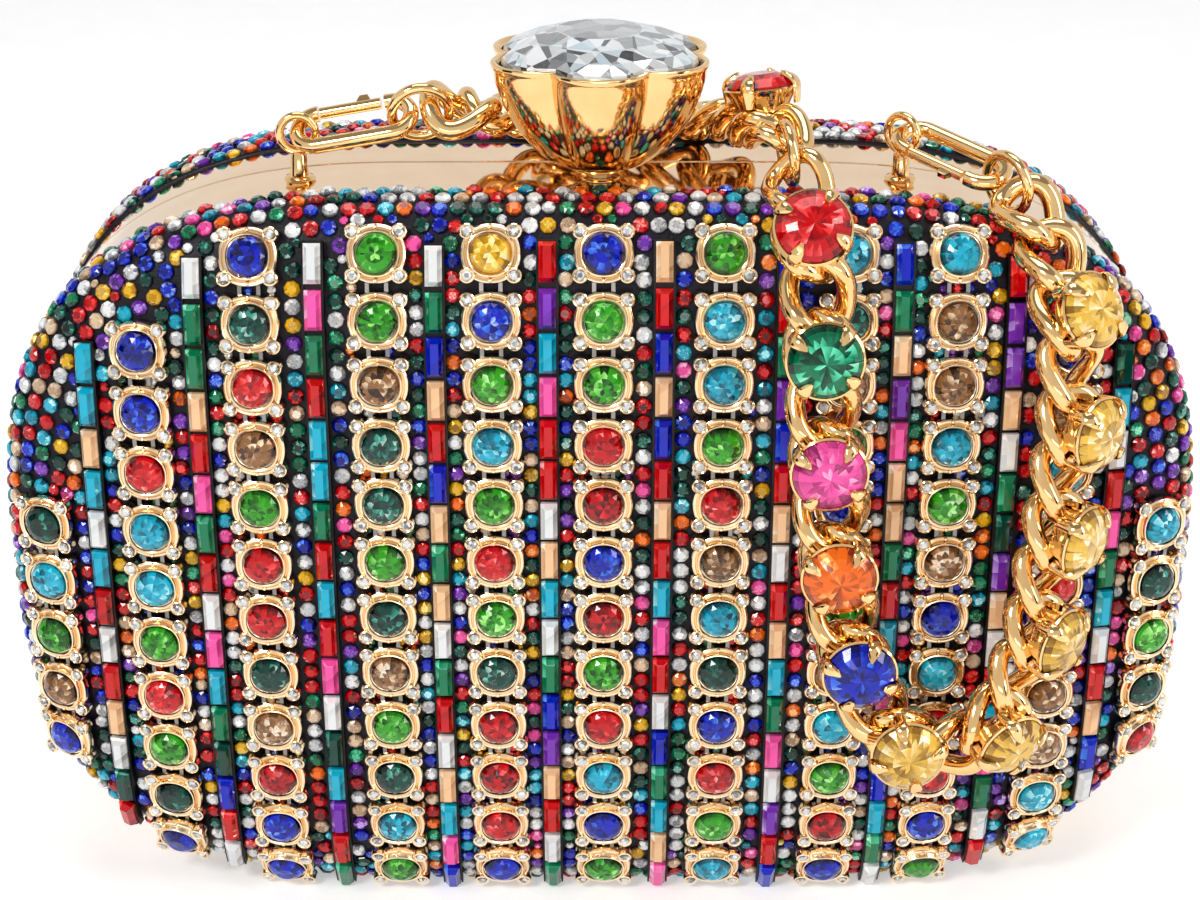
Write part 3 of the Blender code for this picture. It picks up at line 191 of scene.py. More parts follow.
# Looks
FRONT_SEED = 7
STRAP_SEED = 9
KNOB_SEED = 5
FRONT_PAVE_SEED = 21
BACK_PAVE_SEED = 22
SHIFT = Vector((0.0, (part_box("front_frame")[0].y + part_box("back_frame")[1].y) / 2, 0.0))
BODY = {-1: "front_half", 1: "back_half"}
SMOOTH_OUTLINE_STEPS = 40
SMOOTH_PILLOW_STEPS = 24
SHELL_LAST_DEGREES = 89.4
LINING_LAST_DEGREES = 89.0
BAND_EDGE = 0.00022
BAND_INSET = 0.0004
BAND_TRIM = 0.0002
BAND_EASE = 0.3
SHELL_TRIM_INSET = 0.0001
LOBE_CENTRE_SHARE = 0.57
LOBE_RISE = 2.5
LOBE_STEPS = 20
KNOB_BOWL = ((0.0, 0.0), (0.04, 0.17), (0.09, 0.31), (0.19, 0.48), (0.30, 0.61), (0.45, 0.76), (0.63, 0.88),
             (0.80, 0.96), (1.0, 1.0))
CUP_HEIGHT = KNOB_HEIGHT + 0.0024
# Past the rim, height over it
KNOB_RIM_ROLL = (
    (0.0, -0.0009), (0.00016, -0.0007), (0.00022, -0.0004), (0.00016, -0.0001), (0.0, 0.0), (-0.0005, 0.0),
    (-0.0008, -0.0002),
)
SKIRT_RADIUS = 0.0036
SKIRT_DROP = 0.0003
SKIRT_PROFILE = (
    (-0.0003, 0.0006), (0.0, 0.0004), (0.0, 0.0002 - SKIRT_DROP), (-0.0001, -SKIRT_DROP),
    (-0.0003, -SKIRT_DROP),
)
COLLAR_SETBACK = 0.0005
COLLAR_EDGE = 0.0002
KNOB_ROW_STEPS = 6
SETTING_FOOT_PROFILE = (
    (0.0006, 0.0), (SETTING_BASE_RADIUS * 0.86, 0.0), (SETTING_BASE_RADIUS, 0.0004),
    (SETTING_BASE_RADIUS + 0.0001, 0.0012),
)
SETTING_RIM_PROFILE = (
    (-0.0006, -0.0011), (-0.0001, -0.0004), (0.0001, 0.0), (-0.0002, 0.0002), (-0.0006, 0.0),
)
SETTING_FLOOR_PROFILE = ((SETTING_BASE_RADIUS - 0.0008, 0.0012), (0.0006, 0.0010))
PRONG_ROW_STEPS = 3
PRONG_LEAN = 0.4
PAVE_OVER_FRAME = {-1: 0.0, 1: 0.0050}
HOOK_SHOWN_RADIUS = 0.00120
GATE_SHOWN_RADIUS = 0.00088
HOOK_STEPS = 20
GATE_STEPS = 8
LEVER_SHARE = 0.72
LEVER_ROWS = ((0.0, 0.0011, 0.0005), (0.0010, 0.0010, 0.0005), (0.0019, 0.0006, 0.0004))
CURB_RADIUS = 0.00152
WIRE_STEPS = 48
WIRE_SIDES = 16
TURNED_SIDES = 48
RING_SIDES = 14
EAR_SIDES = 32
CUP_SIDES = 40
BLOCK_SHARE = 0.38
BLOCK_REACH = 0.01
PAVE_SEAT = 0.0003
PRONG_THICKNESS = 0.00055
AXIS_RADIUS = 0.00002
PUCKER_SIZE = 0.011
PUCKER_DEPTH = 0.0009
PUCKER_START = 0.3
PUCKER_RUN = 0.4
SEAM_RADIUS = 0.00045
SEAM_SETBACK = SEAM_RADIUS * 1.5
SEAM_SIDES = 8

# Link plates: rows of (reach, rise) shares of the plate's and the corner bezels' sizes
PLATE_REACH = 0.0044
PLATE_RISE = 0.0019
PLATE_PROFILE = (
    (0.40, 0.0), (0.97, 0.0), (1.00, 0.12), (1.00, 0.42), (0.975, 0.60), (0.93, 0.68), (0.885, 0.66),
    (0.86, 0.54), (0.835, 0.52), (0.815, 0.62), (0.80, 0.82), (0.775, 0.97), (0.74, 1.0), (0.705, 0.95),
    (0.69, 0.80), (0.40, 0.55),
)
CORNER_ACROSS = 0.0034
CORNER_DOWN = 0.0032
CORNER_REACH = 0.00122
CORNER_RISE = 0.0018
CORNER_STONE_SEAT = CORNER_RISE * 0.93
CORNER_PROFILE = (
    (0.1, 0.0), (0.95, 0.0), (1.0, 0.2), (1.0, 0.7), (0.93, 0.93), (0.80, 1.0), (0.68, 0.93), (0.1, 0.8),
)
CORNER_STONE_RADIUS = 0.00072
LINK_STONE_RADIUS = 0.00292
LINK_STONE_SEAT = 0.00165
BEAD_DOWN = 0.00395
BEAD_REACH = 0.00034
BEAD_PROFILE = ((0.05, 0.0), (1.0, 0.0), (1.0, 0.9), (0.8, 1.4), (0.35, 1.65), (0.05, 1.7))
BAR_OFFSET = 0.0014
BAR_WIDTH = 0.0006
BAR_LOW = 0.0002
BAR_TOP = 0.0008
PLATE_SQUARENESS = 2.25
PLATE_SIDES = 36
BEAD_SIDES = 10
CORNER_SIDES = 16
CHANNEL_LOW = JEWEL_STANDOFF / 2
BED_TOP = 0.0006
RAIL_WIDTH = 0.0003
RAIL_TOP = 0.0011
BAGUETTE_HALF_WIDTH = BAGUETTE_WIDTH / 2 - 0.00005
BAGUETTE_HALF_LENGTH = 0.00295
BAGUETTE_RISE = 0.0017

# Pave
PAVE_RADIUS = 0.00132
STRIP_RADIUS = 0.00122
PAVE_PITCH = 0.00266
PAVE_GAP = 0.00006
GAP_OVERLAP = 0.18
PAVE_ENDS_X = 0.062
FRONT_ROWS = 6
BACK_ROWS = 8
END_ROWS = 14
PAVE_TILT = 0.09
PAVE_SIZE_SHARE = 0.97
PAVE_HUNT = 0.0002
FIRST_ROW_SHARE = 0.52
ROW_OVERLAP = 0.12
STRIP_OVERLAP = 0.10
STRIP_FILL = 1.06
FRONT_GAP_SHARES = (1.0, 0.88, 0.76, 0.64, 0.54)
BACK_GAP_SHARES = (1.0, 0.8)
RIM_ROWS = 24
PAVE_RING_POINTS = 1500
MERIDIAN_STEPS = 150
PAVE_COLOURS = (
    ("clear", 19), ("ruby", 19), ("sapphire", 15), ("teal", 13), ("emerald", 7), ("aqua", 8), ("violet", 7),
    ("yellow", 6), ("orange", 6), ("champagne", 9), ("pink", 4),
)

# Knob gem: reach share, how lobed, height over the rim, points per lobe, which of them
KNOB_GEM_RINGS = (
    (0.60, 1.0, -0.0040, 4, 0),
    (1.00, 1.0, -0.0008, 4, 0),
    (0.985, 1.0, 0.0002, 4, 0),
    (0.86, 0.80, 0.0014, 4, 2),
    (0.66, 0.40, 0.0026, 2, 0),
    (0.42, 0.0, 0.0035, 2, 2),
)

# Prongs: reach past the rim, height over it, half width
PRONG_ROWS = (
    (-0.00030, -0.0024, 0.0009), (-0.00005, -0.0004, 0.00105), (-0.00005, 0.0004, 0.00105),
    (-0.00045, 0.0011, 0.0010), (-0.00115, 0.0015, 0.00082), (-0.00190, 0.00185, 0.00052),
    (-0.00225, 0.00195, 0.00022),
)
PRONG_TURN = 0.10
# Outline of a prong: share of its half width, share of its thickness
PRONG_SHAPE = ((-1.0, 0.0), (1.0, 0.0), (0.92, 0.6), (0.6, 1.0), (-0.6, 1.0), (-0.92, 0.6))

# Which stone sits at each place, down each column and each baguette strip from the left
COLUMN_STONES = (
    "EAGSBEGA", "BBRAAGRGEBG", "BERSGRRESRBB", "GGSEEGESGEAG", "YBGAGRGERRRB", "BGGRRBRGRABG",
    "GAAGRSAEBRGA", "AESGBRGSAGRB", "ASSAGSBARRBG", "BSAGRBSSAAGB", "AEGERGBA",
)
BAGUETTE_STONES = (
    "AAPAWARWRPWTRAGBV", "WGGPRKGRWKAGTBRWV", "WKGRAAGRARKWTAVRG", "WGBPRBPGPWGRWPAKB", "RVAKRRWPAWGBVPRWG",
    "PRBPBRPRAKRWBGAPK", "BRGVBRPWRPAGKWVRB", "BGPVKPPGRAWKRBAGW", "RVVPWGTVPWRAKGWRB", "TAWRKGAWRPBWGKRVA",
)
LETTERS = {
    "R": "ruby", "G": "green", "E": "teal", "B": "sapphire", "A": "aqua", "S": "smoke", "Y": "yellow",
}
STEP_LETTERS = {
    "W": "clear", "G": "emerald", "T": "teal", "R": "ruby", "B": "sapphire", "A": "aqua", "V": "violet",
    "K": "pink", "P": "peach",
}
# Dark, middle and light tone of each stone: the middle is its own colour, the dark and light tones are painted
# shade and painted highlight on its facets
CRYSTAL_TONES = {
    "ruby": ((0.05, 0.000, 0.001), (0.55, 0.000, 0.003), (1.00, 0.06, 0.06)),
    "emerald": ((0.000, 0.014, 0.007), (0.000, 0.17, 0.070), (0.10, 0.75, 0.42)),
    "green": ((0.002, 0.030, 0.001), (0.025, 0.33, 0.006), (0.35, 0.90, 0.18)),
    "teal": ((0.000, 0.005, 0.004), (0.000, 0.045, 0.030), (0.05, 0.38, 0.28)),
    "sapphire": ((0.000, 0.000, 0.04), (0.000, 0.010, 0.46), (0.06, 0.24, 1.0)),
    "aqua": ((0.000, 0.05, 0.09), (0.002, 0.40, 0.58), (0.40, 0.92, 1.0)),
    "smoke": ((0.025, 0.008, 0.002), (0.27, 0.12, 0.040), (0.98, 0.76, 0.50)),
    "yellow": ((0.18, 0.07, 0.000), (0.74, 0.40, 0.002), (1.0, 0.84, 0.22)),
    "orange": ((0.22, 0.02, 0.000), (0.86, 0.14, 0.003), (1.0, 0.50, 0.14)),
    "violet": ((0.030, 0.003, 0.09), (0.16, 0.02, 0.40), (0.62, 0.40, 0.95)),
    "pink": ((0.28, 0.01, 0.10), (0.88, 0.08, 0.36), (1.0, 0.55, 0.78)),
    "peach": ((0.35, 0.16, 0.07), (0.85, 0.52, 0.28), (1.0, 0.86, 0.68)),
    "champagne": ((0.20, 0.11, 0.06), (0.70, 0.50, 0.32), (1.0, 0.93, 0.82)),
    "clear": ((0.13, 0.13, 0.14), (0.74, 0.76, 0.77), (1.0, 1.0, 1.0)),
    "topaz": ((0.18, 0.07, 0.002), (0.80, 0.48, 0.06), (1.0, 0.94, 0.60)),
}

# Painted reflection tones of the knob's clear gem facets, from near black through grey to white, ending in a
# pale blue
GEM_TONES = (
    (0.0, (0.03, 0.03, 0.035)), (0.22, (0.22, 0.23, 0.24)), (0.45, (0.62, 0.66, 0.68)),
    (0.75, (0.96, 0.97, 0.98)), (1.0, (0.50, 0.62, 0.70)),
)

# Materials


class Nodes:
    """Short forms for one material's node tree."""

    def __init__(self, name):
        self.material = bpy.data.materials.new(name)
        self.material.use_nodes = True
        self.tree = self.material.node_tree
        self.shader = self.tree.nodes["Principled BSDF"]

    def add(self, kind, inputs=(), **settings):
        node = self.tree.nodes.new(kind)
        for key, value in settings.items():
            setattr(node, key, value)
        for key, value in dict(inputs).items():
            self.put(node.inputs[key], value)
        return node

    def put(self, socket, value):
        if isinstance(value, bpy.types.NodeSocket):
            self.tree.links.new(value, socket)
        else:
            socket.default_value = value

    def maths(self, operation, first, second=0.0, third=0.0):
        return self.add("ShaderNodeMath", {0: first, 1: second, 2: third}, operation=operation).outputs[0]

    def times(self, first, second, more=0.0):
        """first x second + more"""
        return self.maths("MULTIPLY_ADD", first, second, more)

    def split(self, uv_map):
        place = self.add("ShaderNodeUVMap", uv_map=uv_map).outputs[0]
        return self.add("ShaderNodeSeparateXYZ", {0: place}).outputs

    def random_value(self, *cell):
        place = self.add("ShaderNodeCombineXYZ", enumerate(cell)).outputs[0]
        return self.add("ShaderNodeTexWhiteNoise", {"Vector": place}).outputs["Value"]

    def noise(self, coordinates, scale, detail=3.0, roughness=0.5):
        values = {"Vector": coordinates, "Scale": scale, "Detail": detail, "Roughness": roughness}
        return self.add("ShaderNodeTexNoise", values).outputs["Fac"]

    def ramp(self, factor, stops):
        node = self.add("ShaderNodeValToRGB", {"Fac": factor})
        elements = node.color_ramp.elements
        while len(elements) < len(stops):
            elements.new(0.5)
        for element, (place, colour) in zip(elements, stops):
            element.position = place
            element.color = (*colour, 1.0)
        return node.outputs["Color"]

    def stretch(self, coordinates, scale):
        return self.add("ShaderNodeMapping", {"Vector": coordinates, "Scale": scale}).outputs[0]

    def object_place(self):
        return self.add("ShaderNodeTexCoord").outputs["Object"]

    def bump(self, height, strength, distance):
        inputs = {"Height": height, "Strength": strength, "Distance": distance}
        return self.add("ShaderNodeBump", inputs).outputs[0]

    def surface(self, **values):
        for key, value in values.items():
            self.put(self.shader.inputs[key.replace("_", " ")], value)


def metal(name, low, high, roughness, scratch=0.05):
    """Plated metal: a little uneven in tone and polish, with fine hairlines."""
    n = Nodes(name)
    place = n.object_place()
    cloud = n.noise(place, 140.0, 4.0)
    hairline = n.noise(n.stretch(place, (900.0, 900.0, 5200.0)), 1.0, 2.0)
    colour = n.ramp(cloud, ((0.3, low), (0.7, high)))
    polish = n.times(cloud, roughness * 0.9, roughness * 0.55)
    wave = n.noise(place, 260.0, 1.0)
    height = n.times(hairline, 0.15, wave)
    n.surface(Base_Color=colour, Metallic=1.0, Roughness=polish, Normal=n.bump(height, scratch, 0.0002))
    return n.material


MADE = {}


def crystal(colour, cut):
    """Foil-backed cut glass: each stone shows its own wheel of light and dark facets under a gloss. The facet
    tones are painted reflections, with painted shade at the girdle, painted glints and a painted glow.
    """
    key = (colour, cut)
    if key in MADE:
        return MADE[key]
    dark, middle, light = CRYSTAL_TONES[colour]
    n = Nodes(f"crystal_{colour}_{cut}")
    u, v, _ = n.split("facets")
    seed, tint, _ = n.split("stone")
    reach = n.maths("SQRT", n.times(u, u, n.times(v, v)))
    if cut == "step":
        # Step cut: a painted diagonal flash of reflection, with painted sparkle in random bands
        along = n.times(v, 1.3, n.times(u, 0.4))
        band = n.maths("FLOOR", n.times(along, 1.2, n.times(seed, 7.0)))
        slope = n.maths("FRACT", n.times(along, 0.5, seed))
        flash = n.times(slope, 0.22, 0.30)
        sparkle = n.random_value(band, seed)
        # Painted light on the bevels: side and end facets painted lighter on one side and darker on the other
        on_side = n.maths("GREATER_THAN", n.maths("ABSOLUTE", u), STEP_SIDE_EDGE)
        on_end = n.maths("GREATER_THAN", n.maths("ABSOLUTE", v), STEP_END_EDGE)
        side_edge = n.times(on_side, n.maths("SIGN", u))
        end_edge = n.times(on_end, n.maths("SIGN", v))
        bevel_light_and_shade = n.times(side_edge, -0.20, n.times(end_edge, -0.16))
        bright = n.maths("ADD", n.times(sparkle, 0.16, flash), bevel_light_and_shade)
    else:
        # Round cuts: every facet of the wheel gets a random painted reflection, with a painted gradient across
        # it
        turn = n.maths("DIVIDE", n.maths("ARCTAN2", v, u), 2 * math.pi)
        inner = n.maths("LESS_THAN", reach, TABLE_REACH)
        count = n.times(inner, -STONE_SECTORS[cut] / 2, STONE_SECTORS[cut])
        wheel = n.times(n.maths("ADD", turn, seed), count)
        kite = n.maths("ABSOLUTE", n.maths("SUBTRACT", n.maths("FRACT", wheel), 0.5))
        staggered = n.times(kite, 0.35, reach)
        ring = n.maths("FLOOR", n.times(staggered, STONE_RINGS[cut]))
        facet_number = n.maths("FLOOR", wheel)
        if cut == "pave":
            facet_number = n.times(facet_number, n.maths("SUBTRACT", 1.0, inner))
        shine = n.maths("POWER", n.random_value(facet_number, ring, tint), 1.35)
        slant = n.times(n.maths("FRACT", wheel), 0.14)
        glow = n.times(shine, 0.88, slant)
        # Painted shade: a darker ring round the girdle
        bright = n.times(n.maths("GREATER_THAN", reach, GIRDLE_REACH), -0.22, glow)
    whole = n.times(tint, TINT_SHARE, n.times(bright, FACET_SHARE))
    # Painted glint: the brightest facets run up to near white
    glint = tuple(0.55 + 0.45 * value for value in light)
    colour_out = n.ramp(whole, ((0.12, dark), (0.46, middle), (0.72, middle), (0.90, light), (1.0, glint)))
    # The emission makes each stone glow a little in its own colour: a painted glow
    n.surface(Base_Color=colour_out, Metallic=0.15, Roughness=0.14, Specular_IOR_Level=0.10,
              Coat_Weight=0.80, Coat_Roughness=0.02, Coat_IOR=1.45,
              Emission_Color=colour_out, Emission_Strength=0.10,
              Normal=n.bump(bright, 0.35, 0.0004))
    MADE[key] = n.material
    return n.material


# Reaches past which a baguette's bevels get painted light on one side and painted shade on the other
STEP_SIDE_EDGE = 0.52
STEP_END_EDGE = 0.78
TABLE_REACH = 0.50
# Reach past which a round stone's edge is painted darker, as painted shade
GIRDLE_REACH = 0.86
TINT_SHARE = 0.16
FACET_SHARE = 0.88
STONE_SECTORS = {"pave": 8, "round": 12, "large": 20}
STONE_RINGS = {"pave": 1.7, "round": 2.4, "large": 2.7}


def make_gem():
    """The knob's big clear crystal: pale and dark facets with a little blue and warm colour in them. The facet
    tones and the blue are painted reflections, and the darker table is painted shade.
    """
    n = Nodes("knob_gem")
    place = n.add("ShaderNodeUVMap", uv_map="facets").outputs[0]
    number = n.add("ShaderNodeUVMap", uv_map="stone").outputs[0]
    cells = n.add("ShaderNodeTexVoronoi", {"Vector": place, "Scale": 4.6, "Randomness": 1.0}, feature="F1")
    both = {0: cells.outputs["Color"], 1: number}
    mixed = n.add("ShaderNodeVectorMath", both, operation="ADD").outputs[0]
    from_middle = n.add("ShaderNodeVectorMath", {0: place}, operation="LENGTH").outputs["Value"]
    noise_value = n.add("ShaderNodeTexWhiteNoise", {"Vector": mixed}).outputs["Value"]
    # Painted shade: the table is painted darker than the crown facets
    table = n.maths("LESS_THAN", from_middle, 0.40)
    value = n.times(noise_value, n.times(table, -0.55, 1.0))
    tone = n.ramp(value, GEM_TONES)
    n.surface(Base_Color=tone, Metallic=0.25, Roughness=0.08, Coat_Weight=0.7, Coat_Roughness=0.01,
              Coat_IOR=1.5, Normal=n.bump(value, 0.25, 0.0006))
    return n.material


def make_bed():
    """Near-black resin bed that the small stones are pressed into, with fine grit."""
    n = Nodes("setting_bed")
    place = n.object_place()
    grit = n.noise(place, 1500.0, 4.0, 0.6)
    tone = n.ramp(n.noise(place, 320.0), ((0.3, (0.002, 0.002, 0.004)), (0.7, (0.012, 0.009, 0.018))))
    n.surface(Base_Color=tone, Specular_IOR_Level=0.2, Roughness=n.times(grit, 0.35, 0.22),
              Normal=n.bump(grit, 0.6, 0.0002))
    return n.material


def cloth(name, low, high, weave, gloss):
    """Woven satin: crossed threads with a soft sheen."""
    n = Nodes(name)
    place = n.object_place()
    waves = {"Vector": place, "Scale": weave, "Distortion": 1.5, "Detail": 2.0}
    warp = n.add("ShaderNodeTexWave", waves, bands_direction="X").outputs["Fac"]
    waves["Scale"] = weave * 1.3
    weft = n.add("ShaderNodeTexWave", waves, bands_direction="Z").outputs["Fac"]
    thread = n.times(warp, weft)
    drift = n.noise(place, 60.0, 4.0)
    level = n.times(thread, 0.35, n.times(drift, 0.65))
    tone = n.ramp(level, ((0.2, low), (0.75, high)))
    n.surface(Base_Color=tone, Roughness=gloss, Sheen_Weight=0.5, Sheen_Roughness=0.35,
              Normal=n.bump(thread, 0.35, 0.0002))
    return n.material


GILT = metal("polished_gilt_looks", (0.84, 0.53, 0.22), (0.95, 0.64, 0.30), 0.10)
PALE_GILT = metal("pale_gilt_looks", (0.90, 0.63, 0.38), (0.96, 0.70, 0.44), 0.07, 0.015)
LINK_GILT = metal("link_gilt_looks", (0.86, 0.64, 0.40), (0.97, 0.77, 0.53), 0.16)
CHANNEL_METAL = metal("channel_metal", (0.010, 0.009, 0.011), (0.04, 0.034, 0.032), 0.40)
STEEL = metal("spring_steel_looks", (0.16, 0.15, 0.14), (0.30, 0.28, 0.27), 0.24)
INNER_METAL = metal("inner_gilt_looks", (0.70, 0.52, 0.28), (0.84, 0.64, 0.38), 0.26)
SETTING_BED = make_bed()
SATIN = cloth("satin_lining", (0.012, 0.010, 0.016), (0.050, 0.040, 0.060), 1400.0, 0.42)
SATIN_CORD = cloth("satin_piping", (0.020, 0.016, 0.024), (0.070, 0.056, 0.080), 2600.0, 0.36)
GEM = make_gem()


# The part's own shapes, as in its source


def outline(half_width, half_height, steps):
    """Points (x, z) round the case's outline about its centre, with true flats at the top and bottom."""
    quarter = []
    for step in range(steps + 1):
        angle = math.pi / 2 * step / steps
        x = CASE_FLAT_HALF + (half_width - CASE_FLAT_HALF) * math.cos(angle) ** (2 / CORNER_POWER)
        z = half_height * math.sin(angle) ** (2 / CORNER_POWER)
        quarter.append((x, z))
    quarter[-1] = (CASE_FLAT_HALF, half_height)
    top = quarter + [(-x, z) for x, z in reversed(quarter)]
    return top + [(-x, -z) for x, z in quarter[1:]] + [(x, -z) for x, z in reversed(quarter[1:])]


def case_ring(inset, share, depth, side):
    """One ring of the case: the inset outline scaled by share, at a depth from the parting plane."""
    points = outline(CASE_HALF_WIDTH - inset, CASE_HALF_HEIGHT - inset, SMOOTH_OUTLINE_STEPS)
    return [Vector((x * share, side * depth, CASE_HALF_HEIGHT + z * share)) for x, z in points]


def pillow_row(angle, inset=0.0):
    """Share of the outline and depth at an angle down the pillow, from 0 at its rim."""
    rise = (PILLOW_BULGE - SHELL_STRAIGHT - inset) * math.sin(angle) ** (2 / PILLOW_POWER)
    return math.cos(angle) ** (2 / PILLOW_POWER), STRAIGHT_END + rise


def pillow_rings(inset, last_degrees, side, rim_depth):
    """Rings down the case's pillow from its rim to nearly its middle."""
    rows = [(1.0, rim_depth), (1.0, STRAIGHT_END)]
    angles = [math.pi / 2 * (step / SMOOTH_PILLOW_STEPS) for step in range(1, SMOOTH_PILLOW_STEPS)]
    rows += [pillow_row(angle, inset) for angle in angles + [math.radians(last_degrees)]]
    return [case_ring(inset, share, depth, side) for share, depth in rows]


def outline_half_height(x, inset=0.0):
    beyond = max(0.0, abs(x) - CASE_FLAT_HALF) / (CASE_HALF_WIDTH - inset - CASE_FLAT_HALF)
    return (CASE_HALF_HEIGHT - inset) * max(0.0, 1 - beyond ** CORNER_POWER) ** (1 / CORNER_POWER)


def pillow_share(x, z):
    """Scale of the outline that passes through (x, z), both measured from the case's centre."""
    low, high = 0.0, 1.0
    for _ in range(2 * BISECTIONS):
        middle = (low + high) / 2
        beyond = max(0.0, abs(x) / middle - CASE_FLAT_HALF) / (CASE_HALF_WIDTH - CASE_FLAT_HALF)
        if beyond ** CORNER_POWER + (abs(z) / middle / CASE_HALF_HEIGHT) ** CORNER_POWER > 1:
            low = middle
        else:
            high = middle
    return high


def pillow_point(x, z):
    """Point on the front pillow's outer face, z measured from the ground."""
    share = pillow_share(x, z - CASE_HALF_HEIGHT)
    rise = (PILLOW_BULGE - SHELL_STRAIGHT) * max(0.0, 1 - share ** PILLOW_POWER) ** (1 / PILLOW_POWER)
    return Vector((x, -FRAME_DEPTH - SHELL_STRAIGHT - rise, z))


def arc_lengths(points):
    lengths = [0.0]
    for first, second in zip(points, points[1:]):
        lengths.append(lengths[-1] + (second - first).length)
    return lengths


def pillow_column(x):
    """Points down the front face in the plane of one x, and the arc length at each."""
    reach = outline_half_height(x)
    points = []
    for step in range(PATH_SAMPLES + 1):
        angle = math.pi / 2 - math.pi * step / PATH_SAMPLES
        points.append(pillow_point(x, CASE_HALF_HEIGHT + reach * math.sin(angle)))
    return points, arc_lengths(points)


def point_at(points, lengths, wanted):
    """Point and direction at an arc length along a list of points."""
    for index in range(1, len(points)):
        if lengths[index] >= wanted or index == len(points) - 1:
            span = lengths[index] - lengths[index - 1]
            part = (wanted - lengths[index - 1]) / span
            first, second = points[index - 1:index + 1]
            return first.lerp(second, part), (second - first).normalized()


def column_seat(x, points, lengths, place):
    """Frame (centre, across, down, out) at a length down one column of the front face."""
    centre, down = point_at(points, lengths, place)
    nudge = CASE_HALF_WIDTH / PATH_SAMPLES
    left = pillow_point(x - nudge, centre.z)
    right = pillow_point(x + nudge, centre.z)
    out = down.cross((right - left).normalized()).normalized()
    if out.y > 0:
        out.negate()
    return centre, out.cross(down).normalized(), down, out


def seats_down_column(x, top_share, pitch):
    """Seats of the pieces set down one column of the front face."""
    points, lengths = pillow_column(x)
    top = CASE_HALF_HEIGHT + (2 * top_share - 1) * CASE_HALF_HEIGHT
    start = next(length for point, length in zip(points, lengths) if point.z <= top)
    seats = []
    place = start
    while place <= lengths[-1] - COLUMN_END_MARGIN:
        seats.append(column_seat(x, points, lengths, place))
        place += pitch
    return seats


def facet(builder, first, second, turn=0):
    """Faces between two rings: flat, or triangles where the second is turned or has half as many."""
    faces = []
    count = len(first)
    if count == 2 * len(second):
        for index in range(len(second)):
            after = (index + 1) % len(second)
            a, b, c = first[2 * index], first[2 * index + 1], first[(2 * index + 2) % count]
            faces.append(builder.faces.new((a, b, second[index])))
            faces.append(builder.faces.new((b, second[after], second[index])))
            faces.append(builder.faces.new((b, c, second[after])))
        return faces
    for index in range(count):
        a, b = first[index], first[(index + 1) % count]
        c, d = second[index], second[(index + 1) % count]
        if turn == 0:
            faces.append(builder.faces.new((a, b, d, c)))
        elif turn > 0:
            faces.append(builder.faces.new((a, b, c)))
            faces.append(builder.faces.new((b, d, c)))
        else:
            faces.append(builder.faces.new((a, d, c)))
            faces.append(builder.faces.new((a, b, d)))
    return faces


def add_loft(builder, rings, capped=True, material=0):
    """A closed body from rings of equal count: capped at both ends, or joined round into a tube ring."""
    made = [[builder.verts.new(point) for point in ring] for ring in rings]
    faces = []
    for first, second in zip(made, made[1:]):
        faces += facet(builder, first, second)
    if capped:
        faces += [builder.faces.new(made[0]), builder.faces.new(made[-1])]
    else:
        faces += facet(builder, made[-1], made[0])
    for face in faces:
        face.material_index = material


def regular_shape(radius, sides, turn=0.0):
    angles = [2 * math.pi * (index + turn) / sides for index in range(sides)]
    return [(radius * math.cos(angle), radius * math.sin(angle)) for angle in angles]


def box_shape(left, low, right, high):
    return [(left, low), (right, low), (right, high), (left, high)]


def add_box(builder, low, high):
    corners = box_shape(low[0], low[1], high[0], high[1])
    add_loft(builder, [[Vector((x, y, z)) for x, y in corners] for z in (low[2], high[2])])


def on_seat(seat, first, second, out=0.0):
    """Place at three distances from a seat's centre, along its directions."""
    return seat[0] + seat[1] * first + seat[2] * second + seat[3] * out


def add_sweep(builder, points, radius, sides, up, closed):
    """A round wire along points. up is never along the wire."""
    count = len(points)
    rings = []
    for index, point in enumerate(points):
        before = points[index - 1] if closed or index > 0 else point
        after = points[(index + 1) % count] if closed or index < count - 1 else point
        along = (after - before).normalized()
        side = along.cross(up).normalized()
        rise = side.cross(along)
        ring = []
        for step in range(sides):
            angle = 2 * math.pi * step / sides
            ring.append(point + radius * (side * math.cos(angle) + rise * math.sin(angle)))
        rings.append(ring)
    add_loft(builder, rings, capped=not closed)


# Height of the frame's outer face at the ears
EAR_SEAT = CASE_HALF_HEIGHT + outline_half_height(EAR_X - EAR_COLLAR_RADIUS, FRAME_INSET)


def ear_centre(side):
    height = EAR_SEAT + CLEARANCE + EAR_COLLAR_HEIGHT + EAR_POST_HEIGHT + EAR_RING_RADIUS
    return Vector((side * EAR_X, KNOB_Y, height))


def spline(a, b, c, d, t):
    """Smooth curve from b to c, with a before and d after them."""
    bend = (2 * a - 5 * b + 4 * c - d) * t ** 2
    return 0.5 * (2 * b + (c - a) * t + bend + (3 * b - a - 3 * c + d) * t ** 3)


def smooth_rows(rows, steps):
    """More rows along a smooth curve through rows of numbers."""
    before = [2 * a - b for a, b in zip(rows[0], rows[1])]
    after = [2 * a - b for a, b in zip(rows[-1], rows[-2])]
    padded = [before] + list(rows) + [after]
    made = []
    for index in range(len(rows) - 1):
        for step in range(steps):
            made.append([spline(*four, step / steps) for four in zip(*padded[index:index + 4])])
    return made + [list(rows[-1])]


